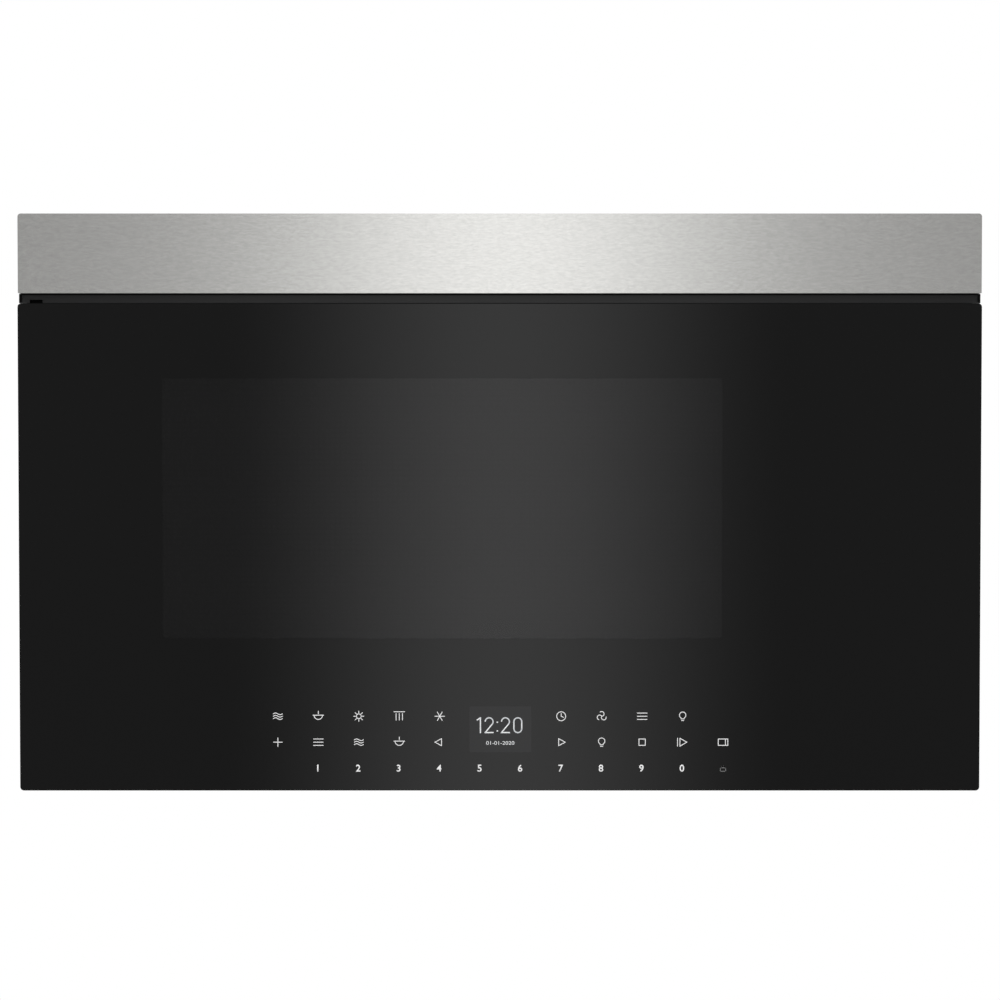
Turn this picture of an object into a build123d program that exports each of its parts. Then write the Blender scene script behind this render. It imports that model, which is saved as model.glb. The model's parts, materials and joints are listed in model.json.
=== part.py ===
from build123d import *
import math
import os

# Over-the-range microwave oven, hung on a wall plate. Millimetres.
# X runs to the right, the front faces -Y, Z is up. The wall plane is Y = 0 and
# the lowest edge is Z = 0; the origin is on the back face of the wall plate.

# --- whole unit ---
WIDTH = 760.0
HEIGHT = 456.0
DEPTH = 346.0
SHEET = 1.0
FIT = 0.3
BASE_Z = 2.0

# --- front ---
PANEL_HEIGHT = 62.6
PANEL_GAP = 7.9
PANEL_CORNER = 2.5
PANEL_INSET = 0.4
PANEL_RETURN = 56.0
PANEL_HEM = 4.5
GLASS_THICK = 4.0
GLASS_CORNER = 3.0
GLASS_TO_TRAY = 1.0
TRAY_DEPTH = 20.0
TRAY_WALL = 2.0
CHOKE_DEPTH = 16.0
DOOR_CLEARANCE = 2.0
WINDOW_INSET = 11.7
WINDOW_ABOVE = 59.2
WINDOW_BELOW = 120.8
INNER_GLASS_THICK = 3.0
SCREEN_THICK = 0.6
SCREEN_BORDER = 12.0
INNER_GLASS_MARGIN = 9.0
END_WALL = 1.6
DEFLECTOR_WALL = 2.0
DEFLECTOR_SETBACK = 6.0
DEFLECTOR_DROP = 7.1

# --- hinge ---
HINGE_INSET = 13.8
HINGE_BACK = 14.0
PIN_R = 3.0
PIN_RUN = 0.08
PIN_LENGTH = 14.0
HINGE_ARM_WIDTH = 9.5
HINGE_ARM_THICK = 1.8
HINGE_FLANGE_HEIGHT = 34.0

# --- wall plate ---
WALL_PLATE_THICK = 1.5
WALL_PLATE_GAP = 0.5
WALL_PLATE_INSET = 10.0
WALL_PLATE_HEIGHT = 110.0
LAG_SPACING_X = 406.4
LAG_SPACING_Z = 60.0
LAG_LOW_Z = 20.0
LAG_HOLE_R = 3.5
HOOK_X = 250.0
HOOK_WIDTH = 30.0
HOOK_RISE = 12.0

# --- oven cavity ---
CAVITY_LEFT = 101.6
CAVITY_RIGHT = 192.4
CAVITY_REAR = 20.0
CAVITY_FLOOR = 104.0
CAVITY_ABOVE = 106.0
CHOKE_MARGIN = 21.6
STIRRER_RISE = 2.0
STIRRER_THICK = 4.0
STIRRER_R = 70.0
FLOOR_PLATE_RISE = 8.0
FLOOR_PLATE_THICK = 4.0
FLOOR_LEDGE = 10.0
RACK_HEIGHTS = (163.5, 213.0)
RACK_SETBACK = 17.0
RACK_SPAN = 200.0
VENT_HOLE_R = 3.0
VENT_HOLE_PITCH = 10.0

# --- waveguide and high voltage parts ---
GUIDE_HEIGHT = 37.0
GUIDE_DEPTH = 80.0
GUIDE_CLEAR = 8.0
GUIDE_INSET = 24.0
SHELF_Z = 44.0
MOTOR_R = 25.0
MOTOR_HEIGHT = 18.0
SHAFT_R = 3.0
SHAFT_RUN = 0.05
MAGNETRON_INSET = 73.0
MAGNETRON_SIZE = (90.0, 84.0, 84.0)
MAGNETRON_FINS = 6
ANTENNA_R = 8.0
TRANSFORMER_SIZE = (95.0, 84.0, 70.0)
TRANSFORMER_INSET = 72.0
TRANSFORMER_SETBACK = 11.0
CAPACITOR_SIZE = (54.0, 34.0, 60.0)
NOISE_BOARD = (78.0, 56.0, 1.6)
BOARD_THICK = 1.6
CONTROL_BOARD = (126.0, 84.0)
FAN_R = 42.0
FAN_Z = 150.0
FAN_HOUSING_DEPTH = 30.0
FAN_BLADES = 7
CONVECTION_R = 72.0
CONVECTION_DEPTH = 33.0
GRILL_TUBE_R = 3.3
GRILL_INSET = 53.0
GRILL_WIDTH = 90.0
GRILL_SETBACK = 104.0
GRILL_RISE = 7.0

# --- hood ---
BLOWER_Y = 68.0
WHEEL_R = 36.0
BLOWER_MOTOR_LENGTH = 96.0
BLOWER_MOTOR_R = 30.0
SCROLL_GAP = 4.0
SCROLL_WALL = 1.0
OUTLET_WIDTH = 254.0
OUTLET_DEPTH = 83.0
DAMPER_HEIGHT = 18.0
FLAP_THICK = 1.0
FILTER_WIDTH = 270.0
FILTER_THICK = 9.0
FILTER_MESH = 3.0
FILTER_X = 190.0
FILTER_BACK = 45.0
TRUNNION_R = 2.0
CHARCOAL_SIZE = (250.0, 110.0, 13.0)
LAMP_SETBACK = 13.0
LAMP_TO_FILTER = 16.0
LAMP_WIDTH = 60.0
LAMP_DEPTH = 34.0

# --- lock ---
LATCH_INSET = 35.0
LATCH_HOOK_THICK = 6.0
LATCH_HEIGHTS = (172.0, 280.0)
LATCH_LIFT = 4.0
LATCH_ARM = 8.0
LATCH_NOSE_DROP = 7.0

# --- fasteners ---
SCREW_HEAD_R = 4.0
SCREW_HEAD_HEIGHT = 2.0
SCREW_R = 1.9
SCREW_LENGTH = 7.0
TOP_BOLT_INSET = 50.0
TOP_BOLT_Y = 220.0
TOP_BOLT_R = 3.6
GLAND_INSET = 45.0
GLAND_Y = 40.0
GLAND_R = 12.0
GLAND_BORE = 5.0

# --- bent edges and small clearances ---
FLANGE = 12.0
CASE_SIDE_SCREW = 30.0
NUT_HALF = 14.0
NUT_THICK = 4.0
GLAND_LENGTH = 8.0
FILTER_CLEAR = 1.5
LENS_LAND = 3.0
EAR_LENGTH = 12.0
TRUNNION_RUN = 0.08
STOP_LENGTH = 6.0
AIR_SLOT = 12.0
AIR_BAR = 8.0
AIR_OPENINGS = 9
LATCH_CLEAR = 2.0
LATCH_SLOT_CLEAR = 3.0
DEFLECTOR_FLANGE = 10.0
DEFLECTOR_RISE = 27.0
SCOOP_FACE = (0.6, 6.4)
SCOOP_MID = (18.5, 13.2)
PIN_HEAD = 0.6
GLASS_EDGE = 0.4
HINGE_BOSS = 8.0
TRAY_LEDGE = 7.0
GUIDE_HALF = 7.0
GUIDE_TALL = 10.0
LEVER_SETBACK = 4.0
LEVER_DEPTH = 10.0
LEVER_OVERRUN = 12.0
SPRING_LENGTH = 16.0
SPRING_R = 4.0
NOSE_LENGTH = 5.0
HOOK_REACH = 18.0
COVER_WALL = 1.5
COVER_INSET = 2.0
TOUCH_BOARD = (400.0, 68.0)
TOUCH_BOARD_Z = 6.0
DISPLAY = (58.0, 42.0)
DISPLAY_Z = 28.0
DISPLAY_DEPTH = 10.0
GRILL_MARGIN = 14.0
COUPLING_R = 30.0
CONVECTION_LAND = 12.0
LAMP_HOLES_BELOW = 48.0
LAMP_HOLES_REACH = 20.0
RACK_SUPPORT = (17.0, 14.0, 20.5)
RACK_ROUND = 4.0
SHAFT_DEPTH = 14.0
STIRRER_SLOTS = 5
STIRRER_SLOT = 8.0
YOKE = 2.0
MAGNETRON_CORE_R = 20.0
MAGNET_R = 27.0
MAGNET_HEIGHT = 12.0
FILTER_BOX = 20.0
ANTENNA_GAP = 10.0
COIL_OVERHANG = 14.0
COIL_ROUND = 10.0
CAPACITOR_LEFT = 12.4
CAPACITOR_REAR = 23.0
TERMINAL = 8.0
FAN_TIP = 2.0
LEG_WIDTH = 10.0
FAN_MOTOR = 50.0
FAN_MOTOR_DEPTH = 30.0
FAN_HUB_R = 12.0
BLADE_TWIST = 32.0
BLADE_THICK = 1.6
BLADE_SHARE = 0.9
HEATER_LEG = 16.0
HEATER_R = 60.0
HEATER_LEG_R = 2.6
HEATER_OUT = 14.0
CONVECTION_FAN_R = 50.0
CONVECTION_DISC_R = 40.0
CONVECTION_BLADE = 14.0
CHARCOAL_SETBACK = 45.0
CAVITY_LAMP = (34.0, 44.0, 46.0)
BULB_R = 7.0
BOARD_LEFT = 8.4
BOARD_BELOW = 86.0
POST_INSET = 8.0
POST_LENGTH = 13.0
RELAYS = 4
RELAY = (15.0, 16.0, 20.0)
RELAY_PITCH = 21.0
SUPPLY = 28.0
SUPPLY_DEPTH = 22.4
HEAT_SINK_SHARE = 0.7
CAPACITORS = 3
CAPACITOR_R = 5.0
NOISE_POST = 6.0
NOISE_BACK = 30.0
NOISE_BELOW = 74.0
CHOKE_RING = 14.0
CHOKE_RING_TUBE = 5.6
LATCH_BOARD_BELOW = 46.0
LATCH_BOARD_ABOVE = 22.0
LATCH_BOARD_DEPTH = 40.0
LATCH_WALL = 2.5
LATCH_FOOT = 18.0
KEEPER_SETBACK = 3.0
KEEPER_GAP = 2.0
KEEPER_THICK = 5.0
SWITCH = (14.0, 14.0, 18.0)
SWITCH_GAP = 4.0
PLUNGER_R = 2.0
PLUNGER_TRAVEL = 1.5
SOLENOID_HALF = 9.0
SOLENOID_HEIGHT = 28.0
INLET_SHARE = 0.75
WHEEL_DISC = 2.0
WHEEL_BLADE = 6.0
WHEEL_RIM = 9.0
WHEEL_BLADES = 20
FLAP_EDGE = 3.0
FLAP_PIN_R = 1.5
FRAME_EDGE = 8.0
TAB_HALF = 15.0
LENS_THICK = 2.0
LAMP_HEIGHT = 15.0
SINK = 1.8

# --- places worked out from the sizes above ---
HALF = WIDTH / 2
DOOR_TOP = HEIGHT - PANEL_HEIGHT - PANEL_GAP
PANEL_BOTTOM = HEIGHT - PANEL_HEIGHT
GLASS_BACK = -DEPTH + GLASS_THICK
TRAY_BACK = GLASS_BACK + TRAY_DEPTH
CHOKE_BACK = TRAY_BACK + CHOKE_DEPTH
FRAME_FRONT = CHOKE_BACK + DOOR_CLEARANCE
FRAME_BACK = FRAME_FRONT + SHEET
CASE_HALF = HALF - SHEET
CASE_IN = CASE_HALF - SHEET
CASE_TOP = HEIGHT - SHEET
CASE_CEILING = CASE_TOP - SHEET
REAR_OUT = -WALL_PLATE_THICK - WALL_PLATE_GAP
REAR_IN = REAR_OUT - SHEET
BASE_TOP = BASE_Z + SHEET
CAV_X0 = -HALF + CAVITY_LEFT
CAV_X1 = HALF - CAVITY_RIGHT
CAV_BACK = -CAVITY_REAR
CAV_TOP = CASE_CEILING - CAVITY_ABOVE
CAV_MID_Y = (FRAME_BACK + CAV_BACK) / 2
WINDOW_X = (CAV_X0 + CAV_X1) / 2
WINDOW_WIDTH = CAV_X1 - CAV_X0 - 2 * WINDOW_INSET
WINDOW_HEIGHT = DOOR_TOP - WINDOW_ABOVE - WINDOW_BELOW
WINDOW_Z = WINDOW_BELOW + WINDOW_HEIGHT / 2
CONVECTION_Z = (CAVITY_FLOOR + CAV_TOP) / 2
LAMP_HOLES_Z = CAV_TOP - LAMP_HOLES_BELOW
GRILL_LENGTH = CAV_X1 - CAV_X0 - 2 * GRILL_INSET
GRILL_Y = FRAME_BACK + GRILL_SETBACK
WALL_PLATE_WIDTH = WIDTH - 2 * WALL_PLATE_INSET
HINGE_X = HALF - HINGE_INSET
LATCH_X = HALF - LATCH_INSET
TOP_BOLT_X = HALF - TOP_BOLT_INSET
GLAND_X = HALF - GLAND_INSET
MAGNETRON_X = HALF - MAGNETRON_INSET
TRANSFORMER_X = HALF - TRANSFORMER_INSET
TRANSFORMER_FRONT = FRAME_BACK + TRANSFORMER_SETBACK
SHELF_TOP = SHELF_Z + SHEET
GUIDE_TOP = CAVITY_FLOOR - SHEET
GUIDE_BOTTOM = GUIDE_TOP - GUIDE_HEIGHT
GUIDE_END = HALF - GUIDE_INSET
GUIDE_Y0 = TRANSFORMER_FRONT + TRANSFORMER_SIZE[1] + GUIDE_CLEAR
GUIDE_Y1 = GUIDE_Y0 + GUIDE_DEPTH
GUIDE_Y = (GUIDE_Y0 + GUIDE_Y1) / 2
FAN_X = MAGNETRON_X
FAN_FRONT = GUIDE_Y1 + GUIDE_CLEAR
FAN_BACK = FAN_FRONT + FAN_HOUSING_DEPTH
CAPACITOR_X = CAV_X1 + CAPACITOR_LEFT
CAPACITOR_Y = REAR_IN - CAPACITOR_REAR - CAPACITOR_SIZE[1]
BOARD_X = CAV_X1 + BOARD_LEFT
BOARD_Z = CAV_TOP - BOARD_BELOW
NOISE_Z = CASE_CEILING - NOISE_BELOW
HX = -HINGE_X
HY = -DEPTH + HINGE_BACK
BLOWER_Z = CASE_CEILING - DAMPER_HEIGHT - 2 * SHEET
FLOOR_PLATE_Z = CAVITY_FLOOR + FLOOR_PLATE_RISE
DEFLECTOR_TOP = PANEL_BOTTOM + DEFLECTOR_RISE
HINGE_TOP_Z = DOOR_TOP + FIT
DOOR_NOTCH = BASE_Z + HINGE_ARM_THICK + 2 * FIT
LEVER_Y0 = GLASS_BACK + LEVER_SETBACK
LEVER_Y1 = LEVER_Y0 + LEVER_DEPTH
HOOK_TIP = FRAME_BACK + HOOK_REACH
LAMP_Y0 = FRAME_BACK + LAMP_SETBACK
LAMP_Y1 = LAMP_Y0 + LAMP_DEPTH
FILTER_LENGTH = -FILTER_BACK - LAMP_Y1 - LAMP_TO_FILTER
FILTER_PIVOT_Y = -FILTER_BACK - EAR_LENGTH / 2
FILTER_PIVOT_Z = BASE_Z + FILTER_THICK / 2
FILTER_STOP_Z = BASE_Z + FILTER_THICK + FIT


def block(x0, x1, y0, y1, z0, z1):
    """A box given by its two corners."""
    size = Box(x1 - x0, y1 - y0, z1 - z0)
    return Pos((x0 + x1) / 2, (y0 + y1) / 2, (z0 + z1) / 2) * size


def rod(radius, start, end):
    """A round bar between two points."""
    along = Vector(*end) - Vector(*start)
    plane = Plane(origin=start, z_dir=along)
    return plane * Cylinder(radius, along.length, align=(Align.CENTER, Align.CENTER, Align.MIN))


def pipe(outer, inner, start, end):
    """A round tube between two points, its bore cut right through."""
    return rod(outer, start, end) - rod(inner, start, end)


def screw(head, direction, length=SCREW_LENGTH):
    """A pan head screw whose head sits under the point and whose shank runs along direction."""
    d = Vector(*direction)
    h = Vector(*head)
    cap = rod(SCREW_HEAD_R, h - d * SCREW_HEAD_HEIGHT, h)
    return cap + rod(SCREW_R, h, h + d * length)


def hole(point, direction, radius=SCREW_R + SHAFT_RUN, length=4 * SHEET):
    """The clearance hole of a screw through sheets near a point."""
    d = Vector(*direction)
    p = Vector(*point)
    return rod(radius, p - d * length, p + d * length)


def solids_of(*shapes):
    """All the separate solids of the shapes, as one group."""
    found = []
    for shape in shapes:
        found.extend(shape.solids())
    return Compound(found)


# --- shell ---


def wall_plate():
    """Hangs on the wall; two hooks pass through the rear panel and lag holes take the wall screws."""
    plate = block(-WALL_PLATE_WIDTH / 2, WALL_PLATE_WIDTH / 2, -WALL_PLATE_THICK, 0, 0, WALL_PLATE_HEIGHT)
    for x in (-LAG_SPACING_X / 2, LAG_SPACING_X / 2):
        for z in (LAG_LOW_Z, LAG_LOW_Z + LAG_SPACING_Z):
            plate -= rod(LAG_HOLE_R, (x, -2 * WALL_PLATE_THICK, z), (x, WALL_PLATE_THICK, z))
    for side in (-1, 1):
        x0 = side * HOOK_X - HOOK_WIDTH / 2
        x1 = x0 + HOOK_WIDTH
        lip = REAR_IN - WALL_PLATE_THICK
        top = WALL_PLATE_HEIGHT
        plate += block(x0, x1, lip - WALL_PLATE_THICK, 0, top - WALL_PLATE_THICK, top)
        plate += block(x0, x1, lip - WALL_PLATE_THICK, lip, top - WALL_PLATE_THICK, top + HOOK_RISE)
    return plate


def rear_panel():
    """Closes the back between the case sides; its two slots hang on the wall plate's hooks."""
    panel = block(-CASE_IN, CASE_IN, REAR_IN, REAR_OUT, BASE_Z, CASE_CEILING)
    for side in (-1, 1):
        x0 = side * HOOK_X - HOOK_WIDTH / 2 - SHEET
        x1 = x0 + HOOK_WIDTH + 2 * SHEET
        low = WALL_PLATE_HEIGHT - HOOK_RISE - 2 * SHEET
        panel -= block(x0, x1, 2 * REAR_IN, 0, low, WALL_PLATE_HEIGHT)
    return panel


def outlet_opening(z0, z1):
    """The space of the exhaust outlet through the top."""
    y = -BLOWER_Y
    return block(-OUTLET_WIDTH / 2, OUTLET_WIDTH / 2, y - OUTLET_DEPTH / 2, y + OUTLET_DEPTH / 2, z0, z1)


def case_screw_points():
    """Screws of the outer case: three down through the top, two in each side near the base."""
    top = [(x, FRAME_BACK + PANEL_RETURN / 2, HEIGHT) for x in (-WIDTH / 3, 0, WIDTH / 3)]
    sides = []
    for side in (-1, 1):
        for y in (FRAME_BACK + CASE_SIDE_SCREW, REAR_IN - CASE_SIDE_SCREW):
            sides.append((side * CASE_HALF, y, BASE_Z + FLANGE / 2 + SHEET))
    return top, sides


def gland_rod(radius, z0, z1):
    """An upright cylinder on the cord inlet's axis."""
    return rod(radius, (GLAND_X, -GLAND_Y, z0), (GLAND_X, -GLAND_Y, z1))


def outer_case():
    """Wraps over both sides and the top: exhaust outlet, cord hole and welded nuts for the top bolts."""
    case = block(-CASE_HALF, CASE_HALF, FRAME_BACK, REAR_OUT, BASE_Z, CASE_TOP)
    case -= block(-CASE_IN, CASE_IN, FRAME_BACK - SHEET, 0, 0, CASE_CEILING)
    case -= outlet_opening(CASE_CEILING - SHEET, HEIGHT)
    for x in (-TOP_BOLT_X, TOP_BOLT_X):
        case += block(x - NUT_HALF, x + NUT_HALF, -TOP_BOLT_Y - NUT_HALF, -TOP_BOLT_Y + NUT_HALF,
                      CASE_CEILING - NUT_THICK, CASE_CEILING)
        case -= rod(TOP_BOLT_R, (x, -TOP_BOLT_Y, CASE_CEILING - 2 * NUT_THICK), (x, -TOP_BOLT_Y, HEIGHT))
    case -= gland_rod(GLAND_R - 2 * SHEET, CASE_CEILING - SHEET, HEIGHT)
    top, sides = case_screw_points()
    for p in top:
        case -= flat_screw(p, (0, 0, -1), SHAFT_RUN)
    for p in sides:
        case -= flat_screw(p, (-math.copysign(1, p[0]), 0, 0), SHAFT_RUN)
    return case


def cord_gland():
    """The bush that lines the hole for the supply cord in the top."""
    bush = gland_rod(GLAND_R, CASE_TOP, CASE_TOP + SHEET)
    bush += gland_rod(GLAND_R - 2 * SHEET - FIT, CASE_TOP - GLAND_LENGTH, CASE_TOP)
    return bush - gland_rod(GLAND_BORE, 0, HEIGHT + SHEET)


def filter_bay(side, grow=0.0):
    """The box of one grease filter's opening in the base."""
    x = side * FILTER_X
    half = FILTER_WIDTH / 2 + grow
    y1 = -FILTER_BACK + grow
    return (x - half, x + half, y1 - FILTER_LENGTH - 2 * grow, y1)


def lamp_bay(side, grow=0.0):
    """The box of one cooktop lamp's opening in the base."""
    x = side * FILTER_X
    return (x - LAMP_WIDTH / 2 - grow, x + LAMP_WIDTH / 2 + grow, LAMP_Y0 - grow, LAMP_Y1 + grow)


def base_screw_points():
    """Screws up through the base pan's edge into the case flanges."""
    return [(x, REAR_IN - FLANGE / 2 - SHEET, BASE_Z) for x in (-WIDTH / 3, WIDTH / 3)]


def base_pan():
    """The underside: two filter openings with pivot ears, two lamp openings and bent-up side flanges."""
    pan = block(-CASE_IN, CASE_IN, FRAME_BACK, REAR_IN, BASE_Z, BASE_TOP)
    for side in (-1, 1):
        x_out = side * CASE_IN
        x_in = side * (CASE_IN - SHEET)
        pan += block(min(x_out, x_in), max(x_out, x_in), FRAME_BACK, REAR_IN, BASE_Z, BASE_Z + FLANGE)
        pan -= block(*filter_bay(side, FILTER_CLEAR), 0, BASE_TOP + SHEET)
        pan -= block(*lamp_bay(side, -LENS_LAND), 0, BASE_TOP + SHEET)
    pan += block(-CASE_IN, CASE_IN, REAR_IN - SHEET, REAR_IN, BASE_Z, BASE_Z + FLANGE)
    for side in (-1, 1):
        x0, x1, y0, y1 = filter_bay(side, FILTER_CLEAR)
        for ear in (x0 - SHEET, x1):
            pan += block(ear, ear + SHEET, y1 - EAR_LENGTH, y1, BASE_Z, FILTER_PIVOT_Z + EAR_LENGTH / 2)
            pan += block(ear, ear + SHEET, y1 - EAR_LENGTH, y1 + SHEET, BASE_Z, BASE_TOP)
        pin = (x0 - 2 * SHEET, FILTER_PIVOT_Y, FILTER_PIVOT_Z)
        pan -= rod(TRUNNION_R + TRUNNION_RUN, pin, (x1 + 2 * SHEET, FILTER_PIVOT_Y, FILTER_PIVOT_Z))
        pan += block(x0, x1, y0 - STOP_LENGTH, y0 + STOP_LENGTH, FILTER_STOP_Z, FILTER_STOP_Z + SHEET)
        pan += block(x0, x1, y0 - STOP_LENGTH, y0 - STOP_LENGTH + SHEET, BASE_Z, FILTER_STOP_Z + SHEET)
    for x, y, z in base_screw_points():
        pan -= hole((x, y, z), (0, 0, 1))
    _, sides = case_screw_points()
    for p in sides:
        pan -= flat_screw(p, (-math.copysign(1, p[0]), 0, 0), SHAFT_RUN)
    return pan


def component_shelf():
    """Carries the high voltage parts over the air path, with a slot at the left for rising air."""
    shelf = block(-CASE_IN + FIT, CASE_IN - FIT, FRAME_BACK + FIT, REAR_IN - FIT, SHELF_Z, SHELF_TOP)
    shelf -= block(-CASE_IN + AIR_SLOT, CAV_X0 - AIR_SLOT, FRAME_BACK + AIR_SLOT, REAR_IN - AIR_SLOT,
                   0, HEIGHT)
    for side in (-1, 1):
        x_out = side * (CASE_IN - FIT)
        x_in = x_out - side * SHEET
        low = SHELF_Z - FLANGE / 2
        shelf += block(min(x_out, x_in), max(x_out, x_in), FRAME_BACK + FIT, REAR_IN - FIT, low,
                       SHELF_TOP)
    return shelf


# --- front ---


def bracket_box(grow=0.0):
    """The X range of a hinge bracket, grown by a clearance."""
    return HX - HINGE_ARM_WIDTH / 2 - grow, HX + HINGE_ARM_WIDTH / 2 + grow


def latch_slot(z, grow_x, y0, y1):
    """The space in which one latch hook drops and lifts, through a wall."""
    low = z - LATCH_NOSE_DROP - LATCH_LIFT - LATCH_CLEAR
    high = z + LATCH_ARM + LATCH_CLEAR
    half = LATCH_HOOK_THICK / 2 + grow_x
    return block(LATCH_X - half, LATCH_X + half, y0, y1, low, high)


def front_frame():
    """The face plate round the cavity mouth, with the hood's air slots and the latch openings."""
    frame = block(-CASE_HALF, CASE_HALF, FRAME_FRONT, FRAME_BACK, BASE_Z, CASE_TOP)
    frame -= block(CAV_X0, CAV_X1, FRAME_FRONT - SHEET, FRAME_BACK + SHEET, CAVITY_FLOOR, CAV_TOP)
    for z in LATCH_HEIGHTS:
        frame -= latch_slot(z, LATCH_SLOT_CLEAR, FRAME_FRONT - SHEET, FRAME_BACK + SHEET)
    z0 = DEFLECTOR_TOP + AIR_BAR
    pitch = (2 * CASE_IN - AIR_BAR) / AIR_OPENINGS
    for i in range(AIR_OPENINGS):
        x0 = -CASE_IN + AIR_BAR + i * pitch
        frame -= block(x0, x0 + pitch - AIR_BAR, FRAME_FRONT - SHEET, FRAME_BACK + SHEET, z0,
                       CASE_TOP - AIR_BAR)
    for p in deflector_screw_points():
        frame -= hole(p, (0, 1, 0))
    return frame


def vent_panel():
    """The brushed steel panel above the door: one sheet bent back over the top and both sides."""
    half = HALF - PANEL_INSET
    shell = block(-half, half, -DEPTH, FRAME_FRONT, PANEL_BOTTOM, HEIGHT)
    top_edges = shell.edges().filter_by(Axis.Y).group_by(Axis.Z)[-1]
    shell = fillet(top_edges, PANEL_CORNER)
    inner = block(-half + SHEET, half - SHEET, -DEPTH + SHEET, 0, 0, HEIGHT - SHEET)
    inner = fillet(inner.edges().filter_by(Axis.Y).group_by(Axis.Z)[-1], PANEL_CORNER - SHEET)
    shell -= inner
    shell += block(-half + SHEET, half - SHEET, -DEPTH + SHEET, -DEPTH + PANEL_HEM, PANEL_BOTTOM,
                   PANEL_BOTTOM + SHEET)
    back = FRAME_FRONT + PANEL_RETURN
    shell += block(-half + PANEL_HEM, half - PANEL_HEM, FRAME_FRONT, back, CASE_TOP, HEIGHT)
    top, _ = case_screw_points()
    for p in top:
        shell -= flat_screw(p, (0, 0, -1), SHAFT_RUN)
    return shell


def deflector_screw_points():
    """Screws that hold the vent deflector's flange against the front frame."""
    y = FRAME_FRONT - DEFLECTOR_WALL
    z = DEFLECTOR_TOP - DEFLECTOR_FLANGE / 2
    return [(x, y, z) for x in (-WIDTH / 3, -WIDTH / 9, WIDTH / 9, WIDTH / 3)]


def vent_deflector():
    """The black scoop behind the gap: it rises, then curves up and back, with a wall at each end."""
    y_lip = -DEPTH + DEFLECTOR_SETBACK
    z_lip = PANEL_BOTTOM - DEFLECTOR_DROP
    y_back = FRAME_FRONT - DEFLECTOR_WALL
    z_back = DEFLECTOR_TOP - DEFLECTOR_FLANGE
    half = HALF - PANEL_INSET - SHEET - FIT
    y_face = y_lip + SCOOP_FACE[0]
    z_face = z_lip + SCOOP_FACE[1]
    z_low = z_lip - DEFLECTOR_WALL / 4
    front = [(y_lip, z_low), (y_lip, z_lip), (y_face, z_face)]
    back = [(y_back, z_back), (y_back, DEFLECTOR_TOP), (FRAME_FRONT, DEFLECTOR_TOP),
            (FRAME_FRONT, z_back - DEFLECTOR_WALL)]
    under = [(y_face + DEFLECTOR_WALL, z_face - DEFLECTOR_WALL / 2), (y_lip + DEFLECTOR_WALL, z_low),
             front[0]]
    path = Polyline([(-half, y, z) for y, z in front])
    path += ThreePointArc((-half, *front[-1]), (-half, y_lip + SCOOP_MID[0], z_lip + SCOOP_MID[1]),
                          (-half, *back[0]))
    path += Polyline([(-half, y, z) for y, z in back])
    path += ThreePointArc((-half, *back[-1]), (-half, y_lip + SCOOP_MID[0] + DEFLECTOR_WALL,
                                               z_lip + SCOOP_MID[1] - DEFLECTOR_WALL), (-half, *under[0]))
    path += Polyline([(-half, y, z) for y, z in under])
    scoop = extrude(make_face(path), amount=2 * half, dir=(1, 0, 0))
    for side in (-1, 1):
        x_out = side * half
        x_in = side * (half - END_WALL)
        x_flush = side * (HALF - PANEL_INSET)
        wall = block(min(x_out, x_in), max(x_out, x_in), y_lip, FRAME_FRONT, z_low, CASE_TOP - AIR_BAR)
        foot = block(min(x_flush, x_in), max(x_flush, x_in), y_lip, FRAME_FRONT, z_low, PANEL_BOTTOM - FIT)
        scoop += wall + foot
    x0, x1 = bracket_box(FIT)
    scoop -= block(x0, x1, -DEPTH, 0, 0, HINGE_TOP_Z + HINGE_ARM_THICK + PIN_HEAD + FIT)
    scoop -= block(x0, x1, FRAME_FRONT - 2 * DEFLECTOR_WALL - FIT, 0, 0,
                   HINGE_TOP_Z + HINGE_FLANGE_HEIGHT + FIT)
    for p in deflector_screw_points():
        scoop -= hole(p, (0, 1, 0))
    return scoop


def hinge_brackets():
    """The upper and lower brackets on the front frame that carry the door pins."""
    x0, x1 = bracket_box()
    flange_y = FRAME_FRONT - 2 * SHEET
    pairs = []
    for z0, up in ((HINGE_TOP_Z, True), (BASE_Z, True)):
        arm = block(x0, x1, HY - HINGE_ARM_WIDTH / 2, FRAME_FRONT, z0, z0 + HINGE_ARM_THICK)
        arm += block(x0, x1, flange_y, FRAME_FRONT, z0, z0 + HINGE_FLANGE_HEIGHT)
        arm -= rod(PIN_R, (HX, HY, z0 - SHEET), (HX, HY, z0 + HINGE_ARM_THICK + SHEET))
        pairs.append(arm)
    return solids_of(*pairs)


def hinge_pins():
    """The two pins on which the door swings, pressed into the brackets."""
    top = rod(PIN_R, (HX, HY, DOOR_TOP - PIN_LENGTH), (HX, HY, HINGE_TOP_Z + HINGE_ARM_THICK))
    top += rod(PIN_R + PIN_HEAD, (HX, HY, HINGE_TOP_Z + HINGE_ARM_THICK),
               (HX, HY, HINGE_TOP_Z + HINGE_ARM_THICK + PIN_HEAD))
    low = rod(PIN_R, (HX, HY, BASE_Z), (HX, HY, DOOR_NOTCH + PIN_LENGTH))
    return solids_of(top, low)


def door_glass():
    """The flat black glass that covers the whole door."""
    glass = block(-HALF, HALF, -DEPTH, GLASS_BACK, 0, DOOR_TOP)
    glass = fillet(glass.edges().filter_by(Axis.Y), GLASS_CORNER)
    front = glass.faces().filter_by(Axis.Y).sort_by(Axis.Y)[0]
    return chamfer(front.edges(), GLASS_EDGE)


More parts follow.
